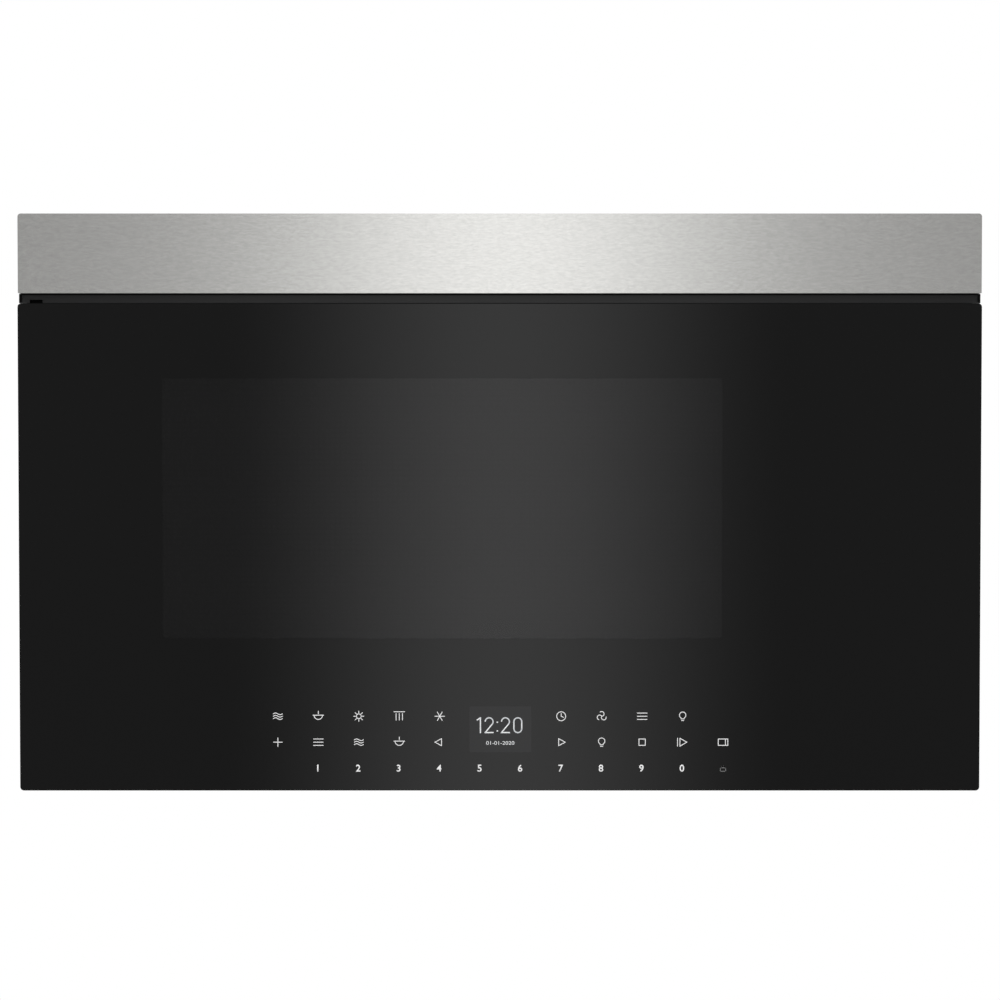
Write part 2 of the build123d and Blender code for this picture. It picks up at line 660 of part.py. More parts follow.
def door_frame():
    """The tray behind the glass: hinge bosses at the left, guides for the latch lever at the right."""
    half = HALF - GLASS_TO_TRAY
    z0 = GLASS_TO_TRAY
    z1 = DOOR_TOP - GLASS_TO_TRAY
    tray = block(-half, half, GLASS_BACK, TRAY_BACK, z0, z1)
    tray = fillet(tray.edges().filter_by(Axis.Y), GLASS_CORNER)
    inside = TRAY_BACK - TRAY_WALL
    tray -= block(-half + TRAY_WALL, half - TRAY_WALL, GLASS_BACK - SHEET, inside, z0 + TRAY_WALL,
                  z1 - TRAY_WALL)
    tray += block(HX - HINGE_BOSS, HX + HINGE_BOSS, GLASS_BACK + SHEET, TRAY_BACK,
                  z1 - PIN_LENGTH - SHEET, z1)
    tray += block(HX - HINGE_BOSS, HX + HINGE_BOSS, GLASS_BACK + SHEET, TRAY_BACK, DOOR_NOTCH,
                  DOOR_NOTCH + PIN_LENGTH + SHEET)
    tray -= block(-HALF, HX + HINGE_ARM_WIDTH, GLASS_BACK, TRAY_BACK + SHEET, 0, DOOR_NOTCH)
    tray += block(-half + TRAY_WALL, HX + HINGE_ARM_WIDTH + TRAY_WALL, GLASS_BACK, TRAY_BACK, DOOR_NOTCH,
                  DOOR_NOTCH + TRAY_WALL)
    tray += block(HX + HINGE_ARM_WIDTH, HX + HINGE_ARM_WIDTH + TRAY_WALL, GLASS_BACK, TRAY_BACK, z0,
                  DOOR_NOTCH + TRAY_WALL)
    for low in (DOOR_NOTCH - SHEET, z1 - PIN_LENGTH - SHEET):
        tray -= rod(PIN_R + PIN_RUN, (HX, HY, low - SHEET), (HX, HY, low + PIN_LENGTH + 2 * SHEET + FIT))
    tray -= rod(PIN_R + PIN_RUN, (HX, HY, z1 - PIN_LENGTH - FIT), (HX, HY, DOOR_TOP))
    half_w = WINDOW_WIDTH / 2 + TRAY_LEDGE
    half_h = WINDOW_HEIGHT / 2 + TRAY_LEDGE
    tray -= block(WINDOW_X - half_w, WINDOW_X + half_w, GLASS_BACK, 0, WINDOW_Z - half_h,
                  WINDOW_Z + half_h)
    for z in LATCH_HEIGHTS:
        tray -= latch_slot(z, SHEET, inside - SHEET, TRAY_BACK + SHEET)
    for z in guide_heights():
        guide = block(LATCH_X - GUIDE_HALF, LATCH_X + GUIDE_HALF, LEVER_Y0 - FIT - SHEET, inside, z,
                      z + GUIDE_TALL)
        half_x = LATCH_HOOK_THICK / 2 + FIT
        guide -= block(LATCH_X - half_x, LATCH_X + half_x, LEVER_Y0 - FIT, LEVER_Y1 + FIT, z - SHEET,
                       z + GUIDE_TALL + SHEET)
        tray += guide
    z_stop = lever_top() + SPRING_LENGTH
    tray += block(LATCH_X - GUIDE_HALF, LATCH_X + GUIDE_HALF, LEVER_Y0 - FIT, inside, z_stop,
                  z_stop + GUIDE_TALL / 2)
    return tray


def guide_heights():
    """The two heights of the latch lever's guides."""
    low, high = LATCH_HEIGHTS
    return low + LATCH_ARM + GUIDE_TALL, high - 3 * GUIDE_TALL


def lever_top():
    """The top of the latch lever at rest."""
    return LATCH_HEIGHTS[1] + LATCH_ARM + LEVER_OVERRUN


def latch_lever():
    """The sliding lever in the door with its two hooks, shown lifted clear of the keepers."""
    x0 = LATCH_X - LATCH_HOOK_THICK / 2
    x1 = x0 + LATCH_HOOK_THICK
    lever = block(x0, x1, LEVER_Y0, LEVER_Y1, LATCH_HEIGHTS[0] - LEVER_OVERRUN, lever_top())
    for z in LATCH_HEIGHTS:
        lever += block(x0, x1, LEVER_Y0, HOOK_TIP, z, z + LATCH_ARM)
        lever += block(x0, x1, HOOK_TIP - NOSE_LENGTH, HOOK_TIP, z - LATCH_NOSE_DROP, z + LATCH_ARM)
    return lever


def latch_spring():
    """The spring that presses the latch lever down on the keepers."""
    y = (LEVER_Y0 + LEVER_Y1) / 2
    z = lever_top()
    return pipe(SPRING_R, SPRING_R - SHEET, (LATCH_X, y, z), (LATCH_X, y, z + SPRING_LENGTH))


def window_block(margin, y0, y1):
    """A flat block centred on the window, larger than it by a margin on each side."""
    half_w = WINDOW_WIDTH / 2 + margin
    half_h = WINDOW_HEIGHT / 2 + margin
    return block(WINDOW_X - half_w, WINDOW_X + half_w, y0, y1, WINDOW_Z - half_h, WINDOW_Z + half_h)


def door_choke():
    """The steel pan on the back of the door whose rim channel keeps the microwaves in."""
    x0 = CAV_X0 - CHOKE_MARGIN
    x1 = CAV_X1 + CHOKE_MARGIN
    z0 = CAVITY_FLOOR - CHOKE_MARGIN
    z1 = CAV_TOP + CHOKE_MARGIN
    pan = block(x0, x1, TRAY_BACK, CHOKE_BACK, z0, z1)
    pan -= block(x0 + SHEET, x1 - SHEET, TRAY_BACK + SHEET, 0, z0 + SHEET, z1 - SHEET)
    return pan - window_block(TRAY_LEDGE, -DEPTH, 0)


def choke_cover():
    """The dark plastic ring over the choke channel; its inner wall stands on the inner glass."""
    x0 = CAV_X0 - CHOKE_MARGIN + SHEET + FIT
    x1 = CAV_X1 + CHOKE_MARGIN - SHEET - FIT
    z0 = CAVITY_FLOOR - CHOKE_MARGIN + SHEET + FIT
    z1 = CAV_TOP + CHOKE_MARGIN - SHEET - FIT
    cover = block(x0, x1, CHOKE_BACK - COVER_WALL, CHOKE_BACK, z0, z1)
    cover += block(x0, x1, TRAY_BACK + SHEET, CHOKE_BACK, z0, z1) - block(
        x0 + COVER_WALL, x1 - COVER_WALL, -DEPTH, 0, z0 + COVER_WALL, z1 - COVER_WALL)
    inner = window_block(COVER_INSET + COVER_WALL, inner_glass_y()[1], CHOKE_BACK)
    return cover + inner - window_block(COVER_INSET, -DEPTH, 0)


def inner_glass_y():
    """Front and back of the inner glass, which lies on the screen."""
    y0 = TRAY_BACK + SHEET + SCREEN_THICK
    return y0, y0 + INNER_GLASS_THICK


def door_screen():
    """The perforated steel screen behind the window."""
    y0 = TRAY_BACK + SHEET
    return window_block(SCREEN_BORDER, y0, y0 + SCREEN_THICK)


def door_inner_glass():
    """The glass on the oven side of the screen."""
    y0, y1 = inner_glass_y()
    return window_block(INNER_GLASS_MARGIN, y0, y1)


def touch_board():
    """The touch sensing board behind the glass under the window."""
    board = block(-TOUCH_BOARD[0] / 2, TOUCH_BOARD[0] / 2, GLASS_BACK, GLASS_BACK + BOARD_THICK,
                  TOUCH_BOARD_Z, TOUCH_BOARD_Z + TOUCH_BOARD[1])
    x0, x1, z0, z1 = display_box(FIT)
    return board - block(x0, x1, -DEPTH, 0, z0, z1)


def display_box(grow=0.0):
    """The display's outline behind the glass."""
    half = DISPLAY[0] / 2 + grow
    return -half, half, DISPLAY_Z - grow, DISPLAY_Z + DISPLAY[1] + grow


def display_module():
    """The clock display, which stands through the touch board against the glass."""
    x0, x1, z0, z1 = display_box()
    return block(x0, x1, GLASS_BACK, GLASS_BACK + DISPLAY_DEPTH, z0, z1)


# --- oven cavity ---


def hole_field_x(centre_y, centre_z, reach, x0, x1):
    """A round field of vent holes through a side wall."""
    steps = int(reach // VENT_HOLE_PITCH)
    holes = []
    for i in range(-steps, steps + 1):
        for j in range(-steps, steps + 1):
            if math.hypot(i, j) * VENT_HOLE_PITCH > reach:
                continue
            y = centre_y + i * VENT_HOLE_PITCH
            z = centre_z + j * VENT_HOLE_PITCH
            holes.append(rod(VENT_HOLE_R, (x0, y, z), (x1, y, z)))
    return holes


def grill_box(grow, z0, z1):
    """The recess of the grill element above the ceiling."""
    half_x = GRILL_LENGTH / 2 + GRILL_MARGIN + grow
    half_y = GRILL_WIDTH / 2 + GRILL_MARGIN / 2 + grow
    return block(WINDOW_X - half_x, WINDOW_X + half_x, GRILL_Y - half_y, GRILL_Y + half_y, z0, z1)


def cavity_shell():
    """The enamelled steel oven box with ledges for the floor plate and vent hole fields."""
    shell = block(CAV_X0 - SHEET, CAV_X1 + SHEET, FRAME_BACK, CAV_BACK + SHEET, CAVITY_FLOOR - SHEET,
                  CAV_TOP + SHEET)
    shell -= block(CAV_X0, CAV_X1, FRAME_BACK - SHEET, CAV_BACK, CAVITY_FLOOR, CAV_TOP)
    for x0, x1 in ((CAV_X0, CAV_X0 + FLOOR_LEDGE), (CAV_X1 - FLOOR_LEDGE, CAV_X1)):
        shell += block(x0, x1, FRAME_BACK, CAV_BACK, CAVITY_FLOOR, FLOOR_PLATE_Z)
    shell += block(CAV_X0, CAV_X1, FRAME_BACK, FRAME_BACK + FLOOR_LEDGE, CAVITY_FLOOR, FLOOR_PLATE_Z)
    shell -= rod(COUPLING_R, (WINDOW_X, GUIDE_Y, 0), (WINDOW_X, GUIDE_Y, CAVITY_FLOOR + SHEET))
    shell -= grill_box(0, CAV_TOP - SHEET, CAV_TOP + 2 * SHEET)
    fan_holes = hole_field_x(CAV_MID_Y, CONVECTION_Z, CONVECTION_R - CONVECTION_LAND, CAV_X1 - SHEET,
                             CAV_X1 + 2 * SHEET)
    lamp_holes = hole_field_x(CAV_MID_Y, LAMP_HOLES_Z, LAMP_HOLES_REACH, CAV_X0 - 2 * SHEET,
                              CAV_X0 + SHEET)
    return shell - fan_holes - lamp_holes


def floor_plate():
    """The flat glass ceramic floor over the stirrer."""
    return block(CAV_X0 + FIT, CAV_X1 - FIT, FRAME_BACK + FIT, CAV_BACK - FIT, FLOOR_PLATE_Z,
                 FLOOR_PLATE_Z + FLOOR_PLATE_THICK)


def rack_supports():
    """Moulded supports on both side walls for a rack at two heights."""
    reach, depth, tall = RACK_SUPPORT
    found = []
    for z in RACK_HEIGHTS:
        for y in (FRAME_BACK + RACK_SETBACK, FRAME_BACK + RACK_SETBACK + RACK_SPAN):
            for x0 in (CAV_X0, CAV_X1 - reach):
                lug = block(x0, x0 + reach, y - depth / 2, y + depth / 2, z, z + tall)
                found.append(fillet(lug.edges().filter_by(Axis.X), RACK_ROUND))
    return solids_of(*found)


def stirrer_rod(radius, z0, z1):
    """An upright cylinder on the stirrer's axis."""
    return rod(radius, (WINDOW_X, GUIDE_Y, z0), (WINDOW_X, GUIDE_Y, z1))


def waveguide():
    """The rectangular duct under the cavity floor from the magnetron to the coupling hole."""
    x0 = WINDOW_X - GUIDE_DEPTH / 2
    guide = block(x0, GUIDE_END, GUIDE_Y0, GUIDE_Y1, GUIDE_BOTTOM, GUIDE_TOP)
    guide -= block(x0 + SHEET, GUIDE_END - SHEET, GUIDE_Y0 + SHEET, GUIDE_Y1 - SHEET,
                   GUIDE_BOTTOM + SHEET, GUIDE_TOP - SHEET)
    guide -= stirrer_rod(COUPLING_R, GUIDE_TOP - 2 * SHEET, GUIDE_TOP + SHEET)
    guide -= stirrer_rod(2 * SHAFT_R, 0, GUIDE_BOTTOM + 2 * SHEET)
    antenna = (MAGNETRON_X, GUIDE_Y, GUIDE_TOP - 2 * SHEET)
    return guide - rod(ANTENNA_R + SHEET, antenna, (MAGNETRON_X, GUIDE_Y, GUIDE_TOP + SHEET))


def stirrer():
    """The slotted disc that stirs the microwaves, on its shaft from the motor."""
    z0 = CAVITY_FLOOR + STIRRER_RISE
    disc = rod(STIRRER_R, (WINDOW_X, GUIDE_Y, z0), (WINDOW_X, GUIDE_Y, z0 + STIRRER_THICK))
    for i in range(STIRRER_SLOTS):
        slot = block(STIRRER_R / 3, STIRRER_R - 3 * SHEET, -STIRRER_SLOT / 2, STIRRER_SLOT / 2,
                     z0 - SHEET,
                     z0 + STIRRER_THICK + SHEET)
        disc -= Pos(WINDOW_X, GUIDE_Y, 0) * Rot(0, 0, i * 360 / STIRRER_SLOTS) * slot
    return disc + rod(SHAFT_R, (WINDOW_X, GUIDE_Y, GUIDE_BOTTOM - SHAFT_DEPTH), (WINDOW_X, GUIDE_Y, z0))


def stirrer_motor():
    """The flat geared motor under the waveguide that turns the stirrer."""
    body = stirrer_rod(MOTOR_R, GUIDE_BOTTOM - MOTOR_HEIGHT, GUIDE_BOTTOM)
    bottom = GUIDE_BOTTOM - SHAFT_DEPTH - SHEET
    return body - stirrer_rod(SHAFT_R + SHAFT_RUN, bottom, GUIDE_BOTTOM + SHEET)


def magnetron():
    """The magnetron on the waveguide: yoke, magnets, cooling fins, filter box and antenna."""
    w, d, h = MAGNETRON_SIZE
    x, y, z = MAGNETRON_X, GUIDE_Y, GUIDE_TOP
    tube = block(x - w / 2, x + w / 2, y - d / 2, y + d / 2, z, z + h)
    tube -= block(x - w / 2 + YOKE, x + w / 2 - YOKE, y - d, y + d, z + YOKE, z + h - YOKE)
    tube += rod(MAGNETRON_CORE_R, (x, y, z), (x, y, z + h))
    for i in range(MAGNETRON_FINS):
        fin_z = z + h / 4 + i * h / 2 / (MAGNETRON_FINS - 1)
        tube += block(x - w / 2, x + w / 2, y - d / 2 + YOKE, y + d / 2 - YOKE, fin_z, fin_z + SHEET / 2)
    for magnet_z in (z + YOKE, z + h - YOKE - MAGNET_HEIGHT):
        tube += rod(MAGNET_R, (x, y, magnet_z), (x, y, magnet_z + MAGNET_HEIGHT))
    tube += block(x - w / 4, x + w / 4, y - d / 4, y + d / 4, z + h, z + h + FILTER_BOX)
    return tube + rod(ANTENNA_R, (x, y, z - GUIDE_HEIGHT + ANTENNA_GAP), (x, y, z))


def hv_transformer():
    """The high voltage transformer on the shelf: laminated core with two windings."""
    w, d, h = TRANSFORMER_SIZE
    x0 = TRANSFORMER_X - w / 2
    y0 = TRANSFORMER_FRONT
    core = block(x0, x0 + w, y0 + COIL_OVERHANG, y0 + d - COIL_OVERHANG, SHELF_TOP, SHELF_TOP + h)
    coils = []
    for z0, z1 in ((h / 6, h / 2 - SHEET), (h / 2 + SHEET, h - h / 6)):
        coil = block(x0 + w / 6, x0 + w - w / 6, y0, y0 + d, SHELF_TOP + z0, SHELF_TOP + z1)
        coils.append(fillet(coil.edges().filter_by(Axis.Z), COIL_ROUND))
    return core + coils


def hv_capacitor():
    """The oval high voltage capacitor with its two terminals, standing on the shelf."""
    w, d, h = CAPACITOR_SIZE
    can = block(CAPACITOR_X, CAPACITOR_X + w, CAPACITOR_Y, CAPACITOR_Y + d, SHELF_TOP, SHELF_TOP + h)
    can = fillet(can.edges().filter_by(Axis.Z), d / 2 - SHEET)
    for x in (CAPACITOR_X + w / 3, CAPACITOR_X + w * 2 / 3):
        y = CAPACITOR_Y + d / 2
        can += rod(SHAFT_R, (x, y, SHELF_TOP + h), (x, y, SHELF_TOP + h + TERMINAL))
    return can


def cooling_fan_housing():
    """The square shroud behind the magnetron, on two legs from the shelf."""
    y0 = FAN_FRONT
    y1 = FAN_BACK
    half = FAN_R + 2 * FAN_TIP + SHEET
    shroud = block(FAN_X - half, FAN_X + half, y0, y1, FAN_Z - half, FAN_Z + half)
    shroud -= rod(FAN_R + FAN_TIP, (FAN_X, y0 - SHEET, FAN_Z), (FAN_X, y1 + SHEET, FAN_Z))
    for x in (FAN_X - half, FAN_X + half - LEG_WIDTH):
        shroud += block(x, x + LEG_WIDTH, y0, y1, SHELF_TOP, FAN_Z - half)
    arm = block(FAN_X - half, FAN_X + half, y1 - SHEET * 2, y1, FAN_Z - LEG_WIDTH / 2,
                FAN_Z + LEG_WIDTH / 2)
    return shroud + arm - rod(SHAFT_R + SHEET, (FAN_X, y0, FAN_Z), (FAN_X, y1 + SHEET, FAN_Z))


def cooling_fan_motor():
    """The shaded pole motor of the cooling fan, on the shroud's cross arm."""
    y0 = FAN_BACK
    half = FAN_MOTOR / 2
    body = block(FAN_X - half, FAN_X + half, y0, y0 + FAN_MOTOR_DEPTH, FAN_Z - half, FAN_Z + half)
    body = chamfer(body.edges().filter_by(Axis.Y), half / 4)
    bore_end = y0 + FAN_MOTOR_DEPTH - SHEET
    return body - rod(SHAFT_R + SHAFT_RUN, (FAN_X, y0 - SHEET, FAN_Z), (FAN_X, bore_end, FAN_Z))


def blades_about(count, blade):
    """Blades set evenly round the Z axis, made as one tool."""
    return [Rot(0, 0, i * 360 / count) * blade for i in range(count)]


def cooling_fan():
    """The axial fan with twisted blades on its hub and shaft."""
    depth = FAN_HOUSING_DEPTH - 4 * FAN_TIP
    hub = Cylinder(FAN_HUB_R, depth)
    blade = Pos(FAN_HUB_R + (FAN_R - FAN_HUB_R) / 2 - SHEET, 0, 0) * Rot(BLADE_TWIST, 0, 0) * Box(
        FAN_R - FAN_HUB_R + SHEET, depth * BLADE_SHARE, BLADE_THICK)
    wheel = hub + blades_about(FAN_BLADES, blade)
    wheel = wheel & Cylinder(FAN_R, FAN_HOUSING_DEPTH)
    y = (FAN_FRONT + FAN_BACK) / 2 - FAN_TIP
    wheel = Pos(FAN_X, y, FAN_Z) * Rot(90, 0, 0) * wheel
    return wheel + rod(SHAFT_R, (FAN_X, y, FAN_Z), (FAN_X, FAN_BACK + FAN_MOTOR_DEPTH - 3 * SHEET, FAN_Z))


def convection_housing():
    """The round cup on the cavity's right wall that holds the convection fan and heater."""
    x0 = CAV_X1 + SHEET
    x1 = x0 + CONVECTION_DEPTH
    centre = (CAV_MID_Y, CONVECTION_Z)
    cup = rod(CONVECTION_R, (x0, *centre), (x1, *centre))
    cup -= rod(CONVECTION_R - SHEET, (x0 - SHEET, *centre), (x1 - SHEET, *centre))
    cup -= rod(SHAFT_R + SHEET, (x0, *centre), (x1 + SHEET, *centre))
    for y in heater_legs():
        cup -= rod(HEATER_LEG_R + SHAFT_RUN, (x0, y, heater_leg_z()), (x1 + SHEET, y, heater_leg_z()))
    return cup


def heater_legs():
    """Where the heater ring's two legs leave through the cup's back."""
    return CAV_MID_Y - HEATER_LEG, CAV_MID_Y + HEATER_LEG


def heater_leg_z():
    """The height of the heater's legs, on the ring's line at its lowest part."""
    return CONVECTION_Z - math.sqrt(HEATER_R ** 2 - HEATER_LEG ** 2)


def convection_heater():
    """The ring heater round the convection fan, with its legs out through the cup."""
    x = CAV_X1 + SHEET + HEATER_OUT
    ring = Pos(x, CAV_MID_Y, CONVECTION_Z) * Rot(0, 90, 0) * Torus(HEATER_R, GRILL_TUBE_R)
    for y in heater_legs():
        ring += rod(HEATER_LEG_R, (x, y, heater_leg_z()),
                    (CAV_X1 + SHEET + CONVECTION_DEPTH + TERMINAL, y, heater_leg_z()))
    return ring


def convection_motor():
    """The motor behind the convection cup."""
    x0 = CAV_X1 + SHEET + CONVECTION_DEPTH
    centre = (CAV_MID_Y, CONVECTION_Z)
    body = rod(FAN_MOTOR / 2, (x0, *centre), (x0 + FAN_MOTOR_DEPTH, *centre))
    return body - rod(SHAFT_R + SHAFT_RUN, (x0 - SHEET, *centre), (x0 + FAN_MOTOR_DEPTH - SHEET, *centre))


def convection_fan():
    """The radial fan behind the cavity's vent holes."""
    blade = Pos(CONVECTION_FAN_R / 2, 0, 0) * Box(CONVECTION_FAN_R, BLADE_THICK, CONVECTION_BLADE)
    wheel = Cylinder(FAN_HUB_R, CONVECTION_BLADE) + blades_about(FAN_BLADES, blade)
    wheel += Pos(0, 0, CONVECTION_BLADE / 2) * Cylinder(CONVECTION_DISC_R, SHEET)
    x = CAV_X1 + SHEET + HEATER_OUT
    wheel = Pos(x, CAV_MID_Y, CONVECTION_Z) * Rot(0, 90, 0) * wheel
    end = CAV_X1 + SHEET + CONVECTION_DEPTH + FAN_MOTOR_DEPTH - 3 * SHEET
    return wheel + rod(SHAFT_R, (x, CAV_MID_Y, CONVECTION_Z), (end, CAV_MID_Y, CONVECTION_Z))


def grill_reflector():
    """The bright tray over the grill element, fixed on the ceiling."""
    z0 = CAV_TOP + SHEET
    z1 = z0 + GRILL_RISE + 3 * GRILL_TUBE_R
    tray = grill_box(SHEET, z0, z1) - grill_box(0, z0 - SHEET, z1 - SHEET)
    for y in grill_ends():
        start = (WINDOW_X - GRILL_LENGTH, y, z0 + GRILL_RISE)
        tray -= rod(GRILL_TUBE_R + SHAFT_RUN, start, (WINDOW_X, y, z0 + GRILL_RISE))
    return tray


def grill_ends():
    """The Y places of the grill element's two ends."""
    return GRILL_Y - GRILL_WIDTH / 2, GRILL_Y + GRILL_WIDTH / 2


def grill_element():
    """The sheathed grill element, bent to and fro under the reflector."""
    z = CAV_TOP + SHEET + GRILL_RISE
    near = WINDOW_X - GRILL_LENGTH / 2
    far = WINDOW_X + GRILL_LENGTH / 2
    end = near - GRILL_MARGIN - TERMINAL
    y0, y3 = grill_ends()
    step = GRILL_WIDTH / 3
    turns = [(end, y0), (far, y0), (far, y0 + step), (near, y0 + step), (near, y0 + 2 * step),
             (far, y0 + 2 * step), (far, y3), (end, y3)]
    path = FilletPolyline(*[(x, y, z) for x, y in turns], radius=step / 2 - SHEET / 2)
    return sweep(Plane(origin=path @ 0, z_dir=path % 0) * Circle(GRILL_TUBE_R), path=path)


# --- electronics and the cavity's small parts ---


def cavity_lamp():
    """The oven lamp in its holder outside the left wall's hole field."""
    w, d, h = CAVITY_LAMP
    x1 = CAV_X0 - SHEET
    holder = block(x1 - w, x1, CAV_MID_Y - d / 2, CAV_MID_Y + d / 2, LAMP_HOLES_Z - h / 2,
                   LAMP_HOLES_Z + h / 2)
    holder -= block(x1 - w + SHEET, x1 + SHEET, CAV_MID_Y - d / 2 + SHEET, CAV_MID_Y + d / 2 - SHEET,
                    LAMP_HOLES_Z - h / 2 + SHEET, LAMP_HOLES_Z + h / 2 - SHEET)
    bulb = rod(BULB_R, (x1 - w, CAV_MID_Y, LAMP_HOLES_Z), (x1 - w / 3, CAV_MID_Y, LAMP_HOLES_Z))
    return holder + bulb + Pos(x1 - w / 3, CAV_MID_Y, LAMP_HOLES_Z) * Sphere(BULB_R)


def board_bracket():
    """The bracket behind the front frame whose posts carry the control board."""
    w, h = CONTROL_BOARD
    plate = block(BOARD_X, BOARD_X + w, FRAME_BACK, FRAME_BACK + SHEET, BOARD_Z, BOARD_Z + h)
    for x in (BOARD_X + POST_INSET, BOARD_X + w - POST_INSET):
        for z in (BOARD_Z + POST_INSET, BOARD_Z + h - POST_INSET):
            plate += rod(SHAFT_R, (x, FRAME_BACK, z), (x, FRAME_BACK + POST_LENGTH, z))
    return plate


def control_board():
    """The control board with its relays, power supply transformer and capacitors."""
    w, h = CONTROL_BOARD
    y0 = FRAME_BACK + POST_LENGTH
    y1 = y0 + BOARD_THICK
    board = block(BOARD_X, BOARD_X + w, y0, y1, BOARD_Z, BOARD_Z + h)
    for i in range(RELAYS):
        x = BOARD_X + POST_INSET + i * RELAY_PITCH
        board += block(x, x + RELAY[0], y1, y1 + RELAY[1], BOARD_Z + POST_INSET,
                       BOARD_Z + POST_INSET + RELAY[2])
    x = BOARD_X + w - POST_INSET - SUPPLY
    board += block(x, x + SUPPLY, y1, y1 + SUPPLY_DEPTH, BOARD_Z + h / 2, BOARD_Z + h / 2 + SUPPLY)
    for i in range(CAPACITORS):
        x = BOARD_X + 2 * POST_INSET + i * 4 * CAPACITOR_R
        z = BOARD_Z + h * HEAT_SINK_SHARE
        board += rod(CAPACITOR_R, (x, y1, z), (x, y1 + RELAY[1], z))
    return board


def noise_filter():
    """The mains filter board on posts from the case's right side, with its choke ring."""
    w, h, thick = NOISE_BOARD
    x1 = CASE_IN - NOISE_POST
    y1 = REAR_IN - NOISE_BACK
    board = block(x1 - thick, x1, y1 - w, y1, NOISE_Z, NOISE_Z + h)
    for y in (y1 - w + POST_INSET / 2, y1 - POST_INSET / 2):
        for z in (NOISE_Z + POST_INSET / 2, NOISE_Z + h - POST_INSET / 2):
            board += rod(SHAFT_R, (x1 - thick, y, z), (CASE_IN, y, z))
    ring = Pos(x1 - thick - CHOKE_RING / 3, y1 - w / 3, NOISE_Z + h / 2) * Rot(0, 90, 0) * Torus(
        CHOKE_RING, CHOKE_RING_TUBE)
    can_y = y1 - w + RELAY[0]
    return board + ring + block(x1 - thick - RELAY[1], x1, can_y - RELAY[0] / 2, can_y + RELAY[0] / 2,
                                NOISE_Z + h / 3, NOISE_Z + h * 2 / 3)


# --- door lock ---


def keeper_top(z):
    """The height of the keeper's ledge under one hook."""
    return z - LATCH_NOSE_DROP - FIT


def latch_board():
    """The moulded board behind the front frame with a keeper ledge under each hook."""
    low, high = LATCH_HEIGHTS
    x_wall = LATCH_X + LATCH_HOOK_THICK / 2 + LATCH_SLOT_CLEAR
    z0 = low - LATCH_BOARD_BELOW
    z1 = high + LATCH_BOARD_ABOVE
    board = block(x_wall, x_wall + LATCH_WALL, FRAME_BACK, FRAME_BACK + LATCH_BOARD_DEPTH, z0, z1)
    board += block(x_wall, x_wall + LATCH_FOOT, FRAME_BACK, FRAME_BACK + LATCH_WALL, z0, z1)
    for z in LATCH_HEIGHTS:
        top = keeper_top(z)
        x0 = LATCH_X - LATCH_HOOK_THICK / 2 - LATCH_SLOT_CLEAR
        board += block(x0, x_wall, FRAME_BACK + KEEPER_SETBACK, HOOK_TIP - NOSE_LENGTH - KEEPER_GAP,
                       top - KEEPER_THICK, top)
    return board


def switch_box():
    """The front and back of the interlock switches behind the hooks."""
    y0 = HOOK_TIP + SWITCH_GAP
    return y0, y0 + SWITCH[1]


def interlock_switches():
    """Two interlock switches on the latch board, one behind each hook."""
    y0, y1 = switch_box()
    x1 = LATCH_X + LATCH_HOOK_THICK / 2 + LATCH_SLOT_CLEAR
    bodies = []
    for z in LATCH_HEIGHTS:
        mid = z + LATCH_ARM / 2
        body = block(x1 - SWITCH[0], x1, y0, y1, mid - SWITCH[2] / 2, mid + SWITCH[2] / 2)
        body -= rod(PLUNGER_R + PIN_RUN, (LATCH_X, y0 - SHEET, mid), (LATCH_X, y1 - SHEET, mid))
        bodies.append(body)
    return solids_of(*bodies)


def switch_plungers():
    """The two switch plungers, whose tips wait just behind the hooks."""
    _, y1 = switch_box()
    found = []
    for z in LATCH_HEIGHTS:
        mid = z + LATCH_ARM / 2
        end = y1 - SHEET - PLUNGER_TRAVEL - FIT
        found.append(rod(PLUNGER_R, (LATCH_X, HOOK_TIP + FIT, mid), (LATCH_X, end, mid)))
    return solids_of(*found)


def release_y():
    """The middle of the lower hook's nose, where the release plunger pushes."""
    return HOOK_TIP - NOSE_LENGTH / 2


def release_solenoid():
    """The solenoid on the latch board that lifts the latch lever to let the door open."""
    x1 = LATCH_X + LATCH_HOOK_THICK / 2 + LATCH_SLOT_CLEAR
    z1 = release_tip() - LATCH_LIFT / 2
    y = release_y()
    body = block(x1 - SWITCH[0], x1, y - SOLENOID_HALF, y + SOLENOID_HALF, z1 - SOLENOID_HEIGHT, z1)
    floor_z = z1 - SOLENOID_HEIGHT + SHEET
    return body - rod(SHAFT_R + PIN_RUN, (LATCH_X, y, floor_z), (LATCH_X, y, z1 + SHEET))


def release_tip():
    """The release plunger's tip at rest, just under the dropped hook's nose."""
    return LATCH_HEIGHTS[0] - LATCH_NOSE_DROP - LATCH_LIFT - FIT


def release_plunger():
    """The solenoid's plunger under the lower hook."""
    y = release_y()
    z0 = release_tip() - LATCH_LIFT / 2 - SOLENOID_HEIGHT / 2
    return rod(SHAFT_R, (LATCH_X, y, z0), (LATCH_X, y, release_tip()))


# --- hood ---


def blower_axis():
    """The blower wheels' axis in Y and Z."""
    return -BLOWER_Y, BLOWER_Z - SCROLL_WALL - SCROLL_GAP - WHEEL_R


